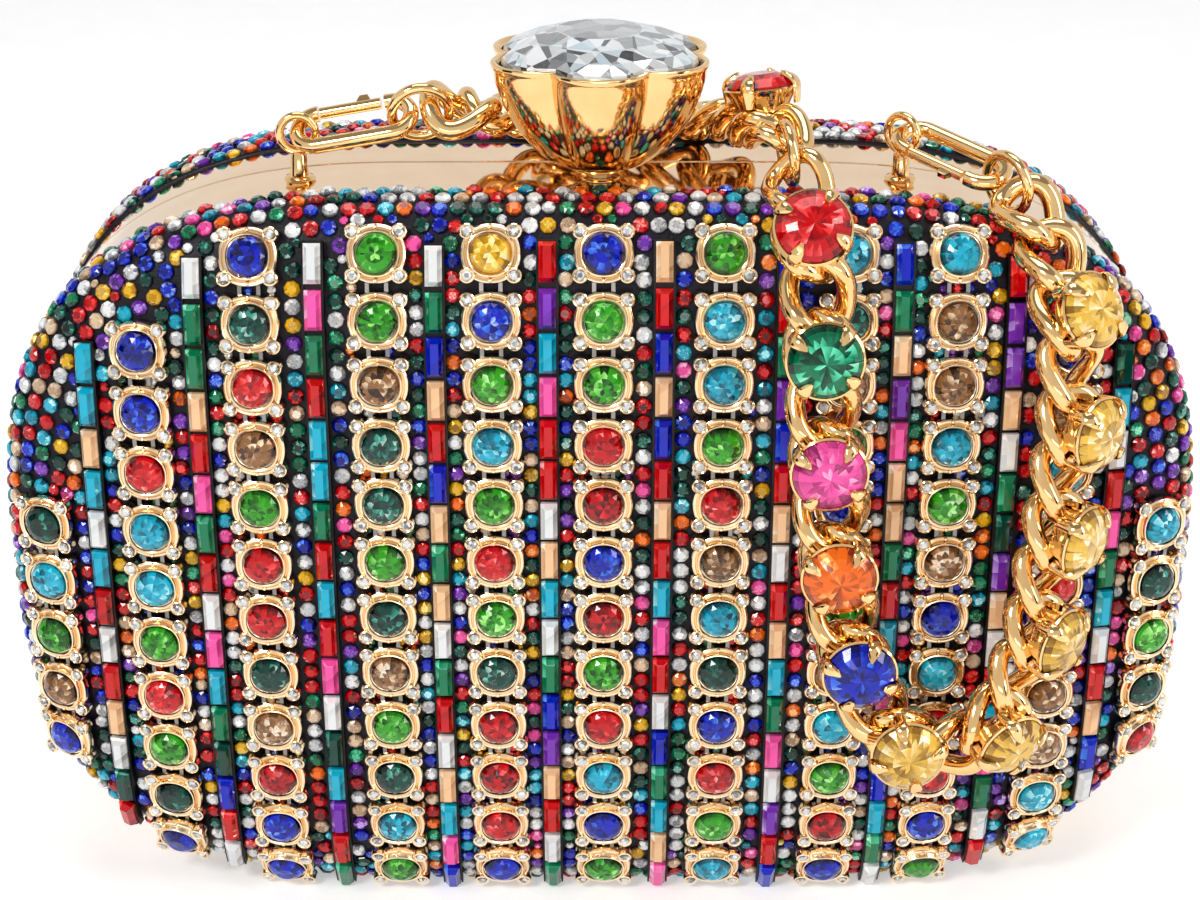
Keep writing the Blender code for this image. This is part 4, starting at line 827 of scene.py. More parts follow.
def strap_path():
    """Smooth points along the strap's route with the facing direction and arc length at each."""
    route = [(x * CASE_HALF_WIDTH, y * CASE_HALF_DEPTH, z * CASE_HEIGHT) for x, y, z in STRAP_ROUTE_SHARES]
    rows = smooth_rows([ear_centre(-1)] + route + [ear_centre(1)], STRAP_STEPS)
    points = [Vector(row) for row in rows]
    faces = [Vector(face) for face in STRAP_FACE_DIRECTIONS]
    faces = [faces[0]] + faces + [faces[-1]]
    facing = [first.lerp(second, step / STRAP_STEPS)
              for first, second in zip(faces, faces[1:]) for step in range(STRAP_STEPS)]
    return points, facing + [faces[-1]], arc_lengths(points)


def strap_seat(path, length):
    """Frame (centre, along, across, out) at a length along the strap."""
    points, facing, lengths = path
    centre, _ = point_at(points, lengths, length)
    reach = CHAIN_HALF_LENGTH / 2
    before, _ = point_at(points, lengths, max(0.0, length - reach))
    after, _ = point_at(points, lengths, min(lengths[-1], length + reach))
    along = (after - before).normalized()
    nearest = min(range(len(lengths)), key=lambda index: abs(lengths[index] - length))
    across = along.cross(facing[nearest]).normalized()
    out = across.cross(along).normalized()
    return centre, along, across, out


def link_end(seat, sign):
    return seat[0] + seat[1] * sign * CHAIN_HALF_LENGTH


def length_at_reach(path, point, low, high, sign, reach, rising):
    """Length of the link whose end wire is at a reach from a point. rising: a longer one is further off."""
    for _ in range(BISECTIONS):
        middle = (low + high) / 2
        near = (link_end(strap_seat(path, middle), sign) - point).length < reach
        if near == rising:
            low = middle
        else:
            high = middle
    return low


def march_links(path, first, count, reach):
    """Lengths of a first link and count more, each starting at the same reach from the end of the last."""
    places = [first]
    for _ in range(count):
        end = link_end(strap_seat(path, places[-1]), 1)
        low = places[-1] + CHAIN_HALF_LENGTH
        places.append(length_at_reach(path, end, low, low + CHAIN_HALF_LENGTH, -1, reach, False))
    return places


def links_between(path, first, last):
    """Lengths of a run of links from first to last, all alike in how they touch."""
    step = 2 * CHAIN_HALF_LENGTH - 2 * CHAIN_WIRE_RADIUS + CHAIN_CONTACT
    count = round((last - first) / step)
    low, high = 0.0, 2 * CHAIN_WIRE_RADIUS
    for _ in range(BISECTIONS):
        reach = (low + high) / 2
        places = march_links(path, first, count, reach)
        if places[-1] > last:
            low = reach
        else:
            high = reach
    return places


def strap_places(path, left_tail, right_tail):
    """Lengths along the strap of the links of its upper chain and of its loop."""
    total = path[2][-1]
    near = HOOK_LENGTH + CHAIN_HALF_LENGTH
    upper_first = length_at_reach(path, left_tail, near, near + 2 * RING_SPAN, -1, RING_SPAN, True)
    far = total - near
    loop_last = length_at_reach(path, right_tail, far - 2 * RING_SPAN, far, 1, RING_SPAN, False)
    upper_last = total * UPPER_END_SHARE
    upper_end = link_end(strap_seat(path, upper_last), 1)
    near = upper_last + 2 * CHAIN_HALF_LENGTH
    loop_first = length_at_reach(path, upper_end, near, near + 2 * RING_SPAN, -1, RING_SPAN, True)
    return links_between(path, upper_first, upper_last), links_between(path, loop_first, loop_last)


def hook_seats(path):
    """Seats of the two hooks: nose in the ear, tail drawn towards a place on the route."""
    points, _, lengths = path
    seats = []
    left_aim, right_aim = (HOOK_LENGTH * share for share in HOOK_AIM_SHARES)
    for side, length in ((-1, left_aim), (1, lengths[-1] - right_aim)):
        nose = ear_centre(side)
        aim, _ = point_at(points, lengths, length)
        along = (aim - nose).normalized()
        across = -side * along.cross(strap_seat(path, length)[3]).normalized()
        seats.append((nose, along, across, -side * across.cross(along)))
    return seats


# Pieces


def make_object(name, builder, materials=(), degrees=0):
    """An object from a bmesh, which is used up. Edges that turn by more than some degrees are sharp."""
    bmesh.ops.recalc_face_normals(builder, faces=builder.faces)
    if degrees:
        for face in builder.faces:
            face.smooth = True
        for edge in builder.edges:
            edge.smooth = len(edge.link_faces) != 2 or edge.calc_face_angle() < math.radians(degrees)
    mesh = bpy.data.meshes.new(name)
    builder.to_mesh(mesh)
    builder.free()
    for material in materials:
        mesh.materials.append(material)
    made = bpy.data.objects.new(name, mesh)
    bpy.context.scene.collection.objects.link(made)
    return made


def finish(name, builder, materials, body, nodes=(), degrees=40):
    """A piece in the frame's place from a bmesh made in the case's own place."""
    bmesh.ops.translate(builder, vec=SHIFT, verts=builder.verts)
    piece = make_object(name, builder, materials, degrees)
    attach(piece, body)
    if nodes:
        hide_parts(*nodes)
    return piece


def gilt_piece(node, builder, body, degrees=40):
    """A polished gilt piece that stands for one node of the part."""
    finish(node + "_smooth", builder, [GILT], body, [node], degrees)


def cut_box(piece, low, high):
    """Cuts a box, given by its corners in the case's own place, out of a piece."""
    builder = bmesh.new()
    add_box(builder, Vector(low) + SHIFT, Vector(high) + SHIFT)
    tool = make_object(piece.name + "_cutter", builder)
    modifier = piece.modifiers.new("cut", "BOOLEAN")
    modifier.operation = "DIFFERENCE"
    modifier.solver = "EXACT"
    modifier.object = tool
    bpy.context.view_layer.update()
    shaped = bpy.data.meshes.new_from_object(piece.evaluated_get(bpy.context.evaluated_depsgraph_get()))
    piece.modifiers.clear()
    piece.data = shaped
    bpy.data.objects.remove(tool)


def add_lathe(builder, seat, profile, sides, squareness=2.0):
    """A body turned round a seat's out axis from a run of (reach, height). Squareness 2 is round."""
    rings = []
    for reach, height in profile:
        ring = []
        for cosine, sine in regular_shape(1.0, sides):
            scale = reach * (abs(cosine) ** squareness + abs(sine) ** squareness) ** (-1 / squareness)
            ring.append(on_seat(seat, scale * cosine, scale * sine, height))
        rings.append(ring)
    add_loft(builder, rings, capped=False)


# Cut stones

# Inset and rise of a baguette's steps, as shares
STEP_CUT = ((0.0, 0.0), (0.0, 0.45), (0.10, 0.62), (0.26, 1.0))
# Rings (reach, height, sides, turn) of the round cuts from below the girdle up, as shares of the radius
CUTS = {
    "pave": ((0.80, -0.55, 8, 0.0), (1.0, 0.0, 8, 0.0), (0.94, 0.14, 8, 0.0), (0.52, 0.44, 8, 0.5)),
    "round": ((0.70, -0.30, 16, 0.0), (1.0, 0.0, 16, 0.0), (0.97, 0.09, 16, 0.0),
              (0.78, 0.27, 16, 0.5), (0.50, 0.40, 16, 0.0)),
    "large": ((0.75, -0.22, 24, 0.0), (1.0, 0.0, 24, 0.0), (0.985, 0.05, 24, 0.0),
              (0.76, 0.25, 24, 0.5), (0.46, 0.36, 24, 0.0)),
}


class Stones:
    """Cut stones of one colour gathered into one mesh, each with its own number for the material."""

    def __init__(self):
        self.builder = bmesh.new()
        self.place = self.builder.loops.layers.uv.new("facets")
        self.number = self.builder.loops.layers.uv.new("stone")

    def add(self, rings, turns, next_number):
        """One stone from rings of (point, facet place), with a number for each face."""
        places = {}
        made = []
        for ring in rings:
            made.append([self.builder.verts.new(point) for point, _ in ring])
            places.update(zip(made[-1], [place for _, place in ring]))
        faces = [self.builder.faces.new(made[0]), self.builder.faces.new(made[-1])]
        for first, second, turn in zip(made, made[1:], turns):
            faces += facet(self.builder, first, second, turn)
        for face in faces:
            number = next_number()
            for loop in face.loops:
                loop[self.place].uv = places[loop.vert]
                loop[self.number].uv = number

    def add_round(self, seat, radius, base, cut, number):
        rings = []
        for reach, height, sides, turn in CUTS[cut]:
            rings.append([(on_seat(seat, a * radius, d * radius, base + height * radius), (a, d))
                          for a, d in regular_shape(reach, sides, turn)])
        turns = [after[3] - before[3] for before, after in zip(CUTS[cut], CUTS[cut][1:])]
        self.add(rings, turns, lambda: number)

    def add_step_cut(self, seat, half_width, half_length, base, height, number):
        rings = []
        for inset, rise in STEP_CUT:
            width, length = half_width * (1 - 2 * inset), half_length - half_width * inset * 2
            rings.append([(on_seat(seat, a, d, base + rise * height), (a / half_width, d / half_length))
                          for a, d in box_shape(-width, -length, width, length)])
        self.add(rings, (0, 0, 0), lambda: number)


def stone_number(rng):
    return (rng.random(), rng.random())


class Stock:
    """Stones by colour for one part of the bag, each colour made into one piece."""

    def __init__(self, prefix, body):
        self.prefix = prefix
        self.body = body
        self.stones = {}

    def colour(self, name):
        if name not in self.stones:
            self.stones[name] = Stones()
        return self.stones[name]

    def finish(self, cut):
        for name, stones in sorted(self.stones.items()):
            finish(f"{self.prefix}_{name}", stones.builder, [crystal(name, cut)], self.body,
                   degrees=0)


# Case


def make_smooth_shell(name, side):
    rim = FRAME_DEPTH + CLEARANCE - PAVE_OVER_FRAME[side]
    outer, inner = (pillow_rings(inset, SHELL_LAST_DEGREES, side, rim) for inset in (0.0, SHELL_WALL))
    builder = bmesh.new()
    add_loft(builder, outer[::-1] + inner)
    finish(name + "_smooth", builder, [SETTING_BED], BODY[side], [name])


def make_smooth_frame(name, side):
    half_gap = CLEARANCE / 2
    lip_inset = SHELL_WALL + LIP_CLEARANCE
    soft = BAND_EDGE
    edge = FRAME_DEPTH - PAVE_OVER_FRAME[side]
    profile = (
        (BAND_INSET + soft, half_gap),
        (BAND_INSET + soft * BAND_EASE, half_gap + soft * BAND_EASE),
        (BAND_INSET, half_gap + soft),
        (BAND_INSET, half_gap + 2 * soft),
        (BAND_INSET, edge - BAND_TRIM - 2 * soft),
        (BAND_INSET, edge - BAND_TRIM),
        (SHELL_TRIM_INSET, edge - BAND_TRIM + soft),
        (SHELL_TRIM_INSET, edge + CLEARANCE / 2),
        (lip_inset, edge + CLEARANCE / 2),
        (lip_inset, FRAME_DEPTH + LIP_DEPTH),
        (FRAME_INNER_INSET, FRAME_DEPTH + LIP_DEPTH),
        (FRAME_INNER_INSET, half_gap),
    )
    builder = bmesh.new()
    rings = [case_ring(inset, 1.0, depth, side) for inset, depth in profile]
    add_loft(builder, rings, capped=False)
    for face in builder.faces:
        if min(abs(vertex.co.y) for vertex in face.verts) > edge - BAND_TRIM - soft / 2:
            face.material_index = 1
    for vertex in builder.verts:
        if abs(vertex.co.y) < edge - BAND_TRIM + soft / 2:
            vertex.co.z = max(vertex.co.z, FRAME_INSET)
    metals = [PALE_GILT, SETTING_BED]
    frame_piece = finish(name + "_smooth", builder, metals, BODY[side], [name])
    notch_half = HINGE_BARREL_RADIUS + CLEARANCE
    long_half = HINGE_HALF_LENGTH + CLEARANCE
    cut_box(frame_piece, (-long_half, -notch_half, -CUT_OVERRUN),
            (long_half, notch_half, FRAME_INNER_INSET + CUT_OVERRUN))


def make_smooth_lining(name, side):
    """The satin lining, a little puckered where it turns, with a rolled seam round its rim."""
    outer, inner = (pillow_rings(inset, LINING_LAST_DEGREES, side, LINING_RIM_SETBACK)
                    for inset in (LINING_INSET, LINING_INSET + LINING_WALL))
    builder = bmesh.new()
    add_loft(builder, outer[::-1] + inner)
    middle = Vector((0.0, 0.0, CASE_HALF_HEIGHT))
    for vertex in builder.verts:
        depth = abs(vertex.co.y)
        if depth > FRAME_DEPTH * PUCKER_START:
            ripple = noise.noise(Vector((vertex.co.x, vertex.co.z, depth * PUCKER_RUN)) / PUCKER_SIZE)
            vertex.co += (middle - vertex.co).normalized() * (abs(ripple) * PUCKER_DEPTH)
    lining = finish(name + "_satin", builder, [SATIN], BODY[side], [name])
    low = BRACKET_FLOOR_TOP - BRACKET_WALL - 2 * KNOB_TRAVEL
    half = BRACKET_HALF_WIDTH + BRACKET_WALL + 2 * CLEARANCE
    if side < 0:
        depth = -KNOB_Y + BRACKET_HALF_DEPTH + BRACKET_WALL + 2 * CLEARANCE
        cut_box(lining, (-half, -depth, low), (half, CUT_OVERRUN, CASE_HEIGHT))
    else:
        depth = KEEPER_OFFSET + KEEPER_DEPTH + CLEARANCE
        cut_box(lining, (-half, -CUT_OVERRUN, low), (half, depth, CASE_HEIGHT))
    seam_depth = LINING_RIM_SETBACK + SEAM_SETBACK
    seam = case_ring(LINING_INSET + LINING_WALL, 1.0, seam_depth, side)
    cord_builder = bmesh.new()
    add_sweep(cord_builder, tidy_loop(seam), SEAM_RADIUS, SEAM_SIDES, Vector((0, 1, 0)), closed=True)
    finish(name + "_piping", cord_builder, [SATIN_CORD], BODY[side])


def tidy_loop(points):
    """A closed run of points with repeated ones dropped."""
    kept = [points[0]]
    for point in points[1:]:
        if (point - kept[-1]).length > 1e-6 and (point - kept[0]).length > 1e-6:
            kept.append(point)
    return kept


# Links and baguettes on the front


def corner_spots(seat):
    """Centres of the four small bezels round a link."""
    return [on_seat(seat, sign_a * CORNER_ACROSS, sign_d * CORNER_DOWN)
            for sign_a in (-1, 1) for sign_d in (-1, 1)]


def make_plates(name, seats):
    """The gilt plates of one column: a double rimmed round bezel with a small bezel at each corner."""
    builder = bmesh.new()
    low = JEWEL_STANDOFF
    plate = [(r * PLATE_REACH, low + h * PLATE_RISE) for r, h in PLATE_PROFILE]
    bead = [(r * BEAD_REACH, low + PLATE_RISE / 2 + h * BEAD_REACH) for r, h in BEAD_PROFILE]
    bezel = [(r * CORNER_REACH, low + h * CORNER_RISE) for r, h in CORNER_PROFILE]
    for seat in seats:
        add_lathe(builder, seat, plate, PLATE_SIDES, PLATE_SQUARENESS)
        for sign in (-1, 1):
            add_lathe(builder, (on_seat(seat, 0.0, sign * BEAD_DOWN),) + seat[1:], bead, BEAD_SIDES)
        for corner in corner_spots(seat):
            add_lathe(builder, (corner,) + seat[1:], bezel, CORNER_SIDES)
    for pair in zip(seats, seats[1:]):
        for offset in (-BAR_OFFSET, BAR_OFFSET):
            bar = box_shape(offset - BAR_WIDTH / 2, low + BAR_LOW, offset + BAR_WIDTH / 2, low + BAR_TOP)
            add_loft(builder, [[on_seat(seat, a, 0.0, o) for a, o in bar] for seat in pair], material=1)
    finish(name + "_gilt", builder, [LINK_GILT, STEEL], "front_half", [name], 30)


def make_channel(name, seats):
    """The dark channel that one strip of baguettes sits in, with a thin rail down each side."""
    builder = bmesh.new()
    half = BAGUETTE_WIDTH / 2
    first = on_seat(seats[0], 0.0, -BAGUETTE_PITCH / 2)
    last = on_seat(seats[-1], 0.0, BAGUETTE_PITCH / 2)
    stations = [(first,) + seats[0][1:]] + seats + [(last,) + seats[-1][1:]]
    for left, right, top in (
        (-half, half, BED_TOP), (-half - RAIL_WIDTH, -half, RAIL_TOP), (half, half + RAIL_WIDTH, RAIL_TOP),
    ):
        shape = box_shape(left, CHANNEL_LOW, right, CHANNEL_LOW + top)
        add_loft(builder, [[on_seat(seat, a, 0.0, o) for a, o in shape] for seat in stations])
    finish(name + "_bed", builder, [CHANNEL_METAL], "front_half", [name], 30)


def make_front():
    rng = random.Random(FRONT_SEED)
    rounds = Stock("link_stones", "front_half")
    steps = Stock("baguettes", "front_half")
    corner = Stones()
    blocked = []
    for number, (x_share, top) in enumerate(zip(COLUMN_X_SHARES, COLUMN_TOP_SHARES)):
        seats = seats_down_column(x_share * CASE_HALF_WIDTH, top, LINK_PITCH)
        name = f"link_column_{number + 1:02d}"
        make_plates(name, seats)
        letters = COLUMN_STONES[number]
        for index, seat in enumerate(seats):
            colour = LETTERS[letters[index % len(letters)]]
            base = JEWEL_STANDOFF + LINK_STONE_SEAT
            rounds.colour(colour).add_round(seat, LINK_STONE_RADIUS, base, "round", stone_number(rng))
            base = JEWEL_STANDOFF + CORNER_STONE_SEAT
            for spot in corner_spots(seat):
                corner.add_round((spot,) + seat[1:], CORNER_STONE_RADIUS, base, "pave", stone_number(rng))
            blocked.append((seat, LINK_WIDTH / 2, LINK_HEIGHT / 2))
    finish("link_corner_stones", corner.builder, [crystal("clear", "pave")], "front_half",
           degrees=0)

    inner = BAGUETTE_WIDTH / 2 + RAIL_WIDTH
    midpoints = [(a + b) / 2 for a, b in zip(COLUMN_X_SHARES, COLUMN_X_SHARES[1:])]
    strips = []
    for number, (x_share, top) in enumerate(zip(midpoints, BAGUETTE_TOP_SHARES)):
        x = x_share * CASE_HALF_WIDTH
        seats = seats_down_column(x, top, BAGUETTE_PITCH)
        make_channel(f"baguette_channel_{number + 1:02d}", seats)
        letters = BAGUETTE_STONES[number]
        for index, seat in enumerate(seats):
            colour = STEP_LETTERS[letters[index % len(letters)]]
            steps.colour(colour).add_step_cut(seat, BAGUETTE_HALF_WIDTH, BAGUETTE_HALF_LENGTH,
                                              CHANNEL_LOW + BED_TOP, BAGUETTE_RISE, stone_number(rng))
            blocked.append((seat, inner, BAGUETTE_PITCH / 2))
        gap_left = (x_share - COLUMN_X_SHARES[number]) * CASE_HALF_WIDTH
        offset = (inner + gap_left - LINK_WIDTH / 2) / 2
        for sign in (-1, 1):
            strips.append((x + sign * offset, (gap_left - LINK_WIDTH / 2 - inner) / 2))
    rounds.finish("round")
    steps.finish("step")
    return blocked, strips


# Pave


class Paving:
    """Small stones set all over one shell, none on top of another or on a blocked seat."""

    def __init__(self, side, blocked):
        self.side = side
        self.blocked = blocked
        self.grid = {}
        self.set = []

    def cell(self, point):
        return tuple(int(math.floor(value / PAVE_PITCH)) for value in point)

    def nearest(self, point, radius):
        """Smallest gap from a stone of this radius at a point to any stone already set."""
        gap = 1.0
        for cell in itertools.product(*((value - 1, value, value + 1) for value in self.cell(point))):
            for other, other_radius in self.grid.get(cell, ()):
                gap = min(gap, (other - point).length - other_radius - radius)
        return gap

    def is_blocked(self, point, radius):
        for (centre, across, down, out), half_across, half_down in self.blocked:
            offset = point - centre
            if offset.length > BLOCK_REACH:
                continue
            if abs(offset.dot(across)) < half_across + radius * BLOCK_SHARE \
                    and abs(offset.dot(down)) < half_down + radius * BLOCK_SHARE:
                return True
        return False

    def try_stone(self, seat, radius, slack):
        point = seat[0]
        if self.nearest(point, radius) < -slack or self.is_blocked(point, radius):
            return False
        self.grid.setdefault(self.cell(point), []).append((point, radius))
        self.set.append((seat, radius))
        return True


def meridian(side):
    """(share, depth) down the shell from its rim to its middle, closely spaced."""
    start = FRAME_DEPTH + CLEARANCE - PAVE_OVER_FRAME[side]
    rows = [(1.0, start + (STRAIGHT_END - start) * step / RIM_ROWS) for step in range(RIM_ROWS)]
    return rows + [pillow_row(math.pi / 2 * step / MERIDIAN_STEPS) for step in range(MERIDIAN_STEPS + 1)]


def even_outline(count):
    """Points spaced evenly round the case's outline, as (x, z) about its centre."""
    raw = outline(CASE_HALF_WIDTH, CASE_HALF_HEIGHT, 200)
    points = tidy_loop([Vector((x, 0.0, z)) for x, z in raw])
    points.append(points[0])
    lengths = arc_lengths(points)
    return [point_at(points, lengths, lengths[-1] * index / count)[0] for index in range(count)]


def shell_point(ring, index, rows, row, side):
    share, depth = rows[row]
    base = ring[index % len(ring)]
    return Vector((base.x * share, side * depth, CASE_HALF_HEIGHT + base.z * share))


def shell_seat(ring, index, rows, row, side):
    """Seat on the shell at a place round the even outline and a row down the meridian."""
    last = len(rows) - 1
    centre = shell_point(ring, index, rows, row, side)
    across = shell_point(ring, index + 1, rows, row, side) - shell_point(ring, index - 1, rows, row, side)
    across.normalize()
    down = shell_point(ring, index, rows, min(row + 1, last), side)
    down = (down - shell_point(ring, index, rows, max(row - 1, 0), side)).normalized()
    out = down.cross(across).normalized()
    if out.dot(centre - Vector((centre.x / 2, 0.0, CASE_HALF_HEIGHT))) < 0:
        out.negate()
    down = out.cross(across).normalized()
    return centre, across, down, out


def pave_rows(paving, zone, lines):
    """Rows that follow the outline, a pitch apart where the zone's own meridian runs in from the rim."""
    rows = meridian(paving.side)
    ring = even_outline(PAVE_RING_POINTS)
    reach = CASE_HALF_WIDTH if zone == "ends" else CASE_HALF_HEIGHT
    length = 0.0
    wanted = PAVE_PITCH * FIRST_ROW_SHARE
    last = (rows[0][0] * reach, rows[0][1])
    made = 0
    for line, (share, depth) in enumerate(rows):
        here = (share * reach, depth)
        length += math.dist(here, last)
        last = here
        if length < wanted:
            continue
        made += 1
        wanted += PAVE_PITCH
        travelled = 0.0
        before = None
        offset = (made % 2) * PAVE_PITCH / 2
        for index in range(len(ring)):
            seat = shell_seat(ring, index, rows, line, paving.side)
            if before is not None:
                travelled += (seat[0] - before).length
            before = seat[0]
            if travelled >= offset:
                if (abs(seat[0].x) > PAVE_ENDS_X) == (zone == "ends"):
                    paving.try_stone(seat, PAVE_RADIUS, PAVE_RADIUS * ROW_OVERLAP)
                offset += PAVE_PITCH
        if made >= lines:
            return


def pave_strip(paving, x, radius, pitch, top_z):
    """One stone after another straight down the shell."""
    points, lengths = pillow_column(x)
    place = 0.0
    while place < lengths[-1]:
        seat = column_seat(x, points, lengths, place)
        if paving.side > 0:
            seat = tuple(Vector((v.x, -v.y, v.z)) for v in seat)
        if seat[0].z <= top_z and paving.try_stone(seat, radius, radius * STRIP_OVERLAP):
            place += pitch - PAVE_HUNT
        place += PAVE_HUNT


def pave_gaps(paving, shares):
    """Smaller stones in the gaps that are left."""
    rows = meridian(paving.side)
    ring = even_outline(PAVE_RING_POINTS)
    for radius in [PAVE_RADIUS * share for share in shares]:
        for line in range(3, len(rows), 2):
            for index in range(line % 3, len(ring), 3):
                point = shell_point(ring, index, rows, line, paving.side)
                slack = radius * GAP_OVERLAP
                if paving.nearest(point, radius) >= -slack and not paving.is_blocked(point, radius):
                    paving.try_stone(shell_seat(ring, index, rows, line, paving.side), radius, slack)


def finish_paving(paving, prefix, seed):
    rng = random.Random(seed)
    stock = Stock(prefix, BODY[paving.side])
    names = [name for name, _ in PAVE_COLOURS]
    weights = [weight for _, weight in PAVE_COLOURS]
    for (centre, across, down, out), radius in paving.set:
        name = rng.choices(names, weights)[0]
        tilt = Matrix.Rotation(rng.uniform(-PAVE_TILT, PAVE_TILT), 3, across)
        tilt = tilt @ Matrix.Rotation(rng.uniform(-PAVE_TILT, PAVE_TILT), 3, down)
        turn = Matrix.Rotation(rng.uniform(0, math.pi / 4), 3, out)
        seat = (centre, tilt @ turn @ across, tilt @ turn @ down, tilt @ out)
        stock.colour(name).add_round(seat, radius * PAVE_SIZE_SHARE, PAVE_SEAT, "pave", stone_number(rng))
    stock.finish("pave")


def make_paving(blocked, strips):
    front = Paving(-1, blocked)
    pave_rows(front, "middle", FRONT_ROWS)
    pave_rows(front, "ends", END_ROWS)
    for x, half_gap in strips:
        radius = min(PAVE_RADIUS, max(STRIP_RADIUS, half_gap * STRIP_FILL))
        pave_strip(front, x, radius, 2 * radius + PAVE_GAP, CASE_HEIGHT)
    pave_gaps(front, FRONT_GAP_SHARES)
    finish_paving(front, "front_pave", FRONT_PAVE_SEED)
    back = Paving(1, [])
    pave_rows(back, "middle", BACK_ROWS)
    pave_rows(back, "ends", END_ROWS)
    count = int(2 * CASE_HALF_WIDTH / PAVE_PITCH)
    for index in range(count + 1):
        top = CASE_HEIGHT - (index % 2) * PAVE_PITCH / 2
        pave_strip(back, (index - count / 2) * PAVE_PITCH, PAVE_RADIUS, PAVE_PITCH, top)
    pave_gaps(back, BACK_GAP_SHARES)
    finish_paving(back, "back_pave", BACK_PAVE_SEED)


# Clasp


def lobed_ring(centre, radius, lobe_share, height, steps_per_lobe):
    """A ring with the knob's lobes, from round at lobe_share 0 to fully lobed at 1. One faces the front."""
    ring = []
    sector = 2 * math.pi / KNOB_LOBES
    lobe_radius = 1 - LOBE_CENTRE_SHARE
    for step in range(KNOB_LOBES * steps_per_lobe):
        angle = sector * step / steps_per_lobe
        offset = (angle + sector / 2) % sector - sector / 2
        sine = LOBE_CENTRE_SHARE * math.sin(offset)
        lobed = LOBE_CENTRE_SHARE * math.cos(offset) + math.sqrt(lobe_radius ** 2 - sine ** 2)
        reach = radius * (1 + lobe_share * (lobed - 1))
        ring.append(centre + Vector((reach * math.sin(angle), -reach * math.cos(angle), height)))
    return ring


def make_smooth_knob():
    centre = Vector((0.0, KNOB_Y, KNOB_FOOT_Z))
    rows = smooth_rows(KNOB_BOWL, KNOB_ROW_STEPS)
    outer = []
    inner = []
    for height_share, reach_share in rows:
        height_share = max(0.0, height_share)
        radius = KNOB_FOOT_RADIUS + (KNOB_RIM_RADIUS - KNOB_FOOT_RADIUS) * reach_share
        lobe = math.sqrt(min(1.0, height_share * LOBE_RISE))
        outer.append(lobed_ring(centre, radius, lobe, height_share * CUP_HEIGHT, LOBE_STEPS))
        inner_height = KNOB_WALL + height_share * (CUP_HEIGHT - KNOB_WALL)
        inner.append(lobed_ring(centre, radius - KNOB_WALL, lobe, inner_height, LOBE_STEPS))
    rim = []
    for reach, height in KNOB_RIM_ROLL:
        rim.append(lobed_ring(centre, KNOB_RIM_RADIUS + reach, 1.0, CUP_HEIGHT + height, LOBE_STEPS))
    builder = bmesh.new()
    add_loft(builder, outer[:-2] + rim + inner[:-1][::-1])
    skirt = [(SKIRT_RADIUS + reach, height) for reach, height in SKIRT_PROFILE]
    add_lathe(builder, (centre,) + upright_seat(0.0, 0.0)[1:], skirt, TURNED_SIDES)
    gilt_piece("clasp_knob_cup", builder, "clasp_knob", 34)

    rim_centre = Vector((0.0, KNOB_Y, KNOB_FOOT_Z + CUP_HEIGHT))
    girdle = KNOB_RIM_RADIUS - KNOB_WALL - CLEARANCE
    stones = Stones()
    rng = random.Random(KNOB_SEED)
    rings = []
    for reach, lobe, rise, per_lobe, skip in KNOB_GEM_RINGS:
        ring = lobed_ring(rim_centre, girdle * reach, lobe, rise, 4 * per_lobe)[skip::4]
        rings.append([(point, ((point - rim_centre) / girdle).xy) for point in ring])
    stones.add(rings, [1] * len(rings), lambda: stone_number(rng))
    finish("clasp_knob_gem", stones.builder, [GEM], "clasp_knob", ["clasp_knob_stone"],
           degrees=0)


def upright_seat(x, y):
    return (Vector((x, y, 0.0)), Vector((1, 0, 0)), Vector((0, 1, 0)), Vector((0, 0, 1)))


def make_collar():
    low = FRAME_TOP + CLEARANCE
    top = KNOB_FOOT_Z - KNOB_TRAVEL - CLEARANCE / 2
    inner = STEM_RADIUS + CLEARANCE / 2
    reach = SKIRT_RADIUS - COLLAR_SETBACK
    builder = bmesh.new()
    profile = [(inner, low), (reach, low), (reach, top - COLLAR_EDGE), (reach - COLLAR_EDGE, top), (inner, top)]
    add_lathe(builder, upright_seat(0.0, KNOB_Y), profile, TURNED_SIDES)
    gilt_piece("clasp_collar", builder, "front_half")


# Strap


def make_smooth_ear(name, side, hook_across):
    centre = ear_centre(side)
    collar_low = EAR_SEAT + FRAME_INSET - BAND_INSET
    top = centre.z - EAR_RING_RADIUS
    builder = bmesh.new()
    profile = [(AXIS_RADIUS, collar_low - 0.0004), (EAR_COLLAR_RADIUS, collar_low - 0.0004),
               (EAR_COLLAR_RADIUS, collar_low), (EAR_COLLAR_RADIUS + 0.0003, collar_low + 0.0003),
               (EAR_COLLAR_RADIUS, collar_low + EAR_COLLAR_HEIGHT),
               (EAR_POST_RADIUS + 0.0001, collar_low + EAR_COLLAR_HEIGHT + 0.0002),
               (EAR_POST_RADIUS * 0.9, top - 0.0006), (EAR_POST_RADIUS * 0.7, top),
               (AXIS_RADIUS, top + 0.0002)]
    add_lathe(builder, upright_seat(centre.x, centre.y), profile, EAR_SIDES)
    axis = Vector((hook_across.x, hook_across.y, 0.0)).normalized()
    upward = Vector((0, 0, 1))
    seat = (centre, axis.cross(upward), upward, axis)
    points = [on_seat(seat, a, b) for a, b in regular_shape(EAR_RING_RADIUS, WIRE_STEPS)]
    add_sweep(builder, points, EAR_WIRE_RADIUS, WIRE_SIDES, axis, closed=True)
    gilt_piece(name, builder, "front_half")


def add_curb(builder, seat, radius):
    points = []
    for cosine, sine in regular_shape(1.0, WIRE_STEPS):
        twist = CHAIN_TWIST * 2 * sine * cosine
        points.append(on_seat(seat, CHAIN_HALF_LENGTH * cosine, CHAIN_HALF_WIDTH * sine, twist))
    add_sweep(builder, points, radius, WIRE_SIDES, seat[3], closed=True)


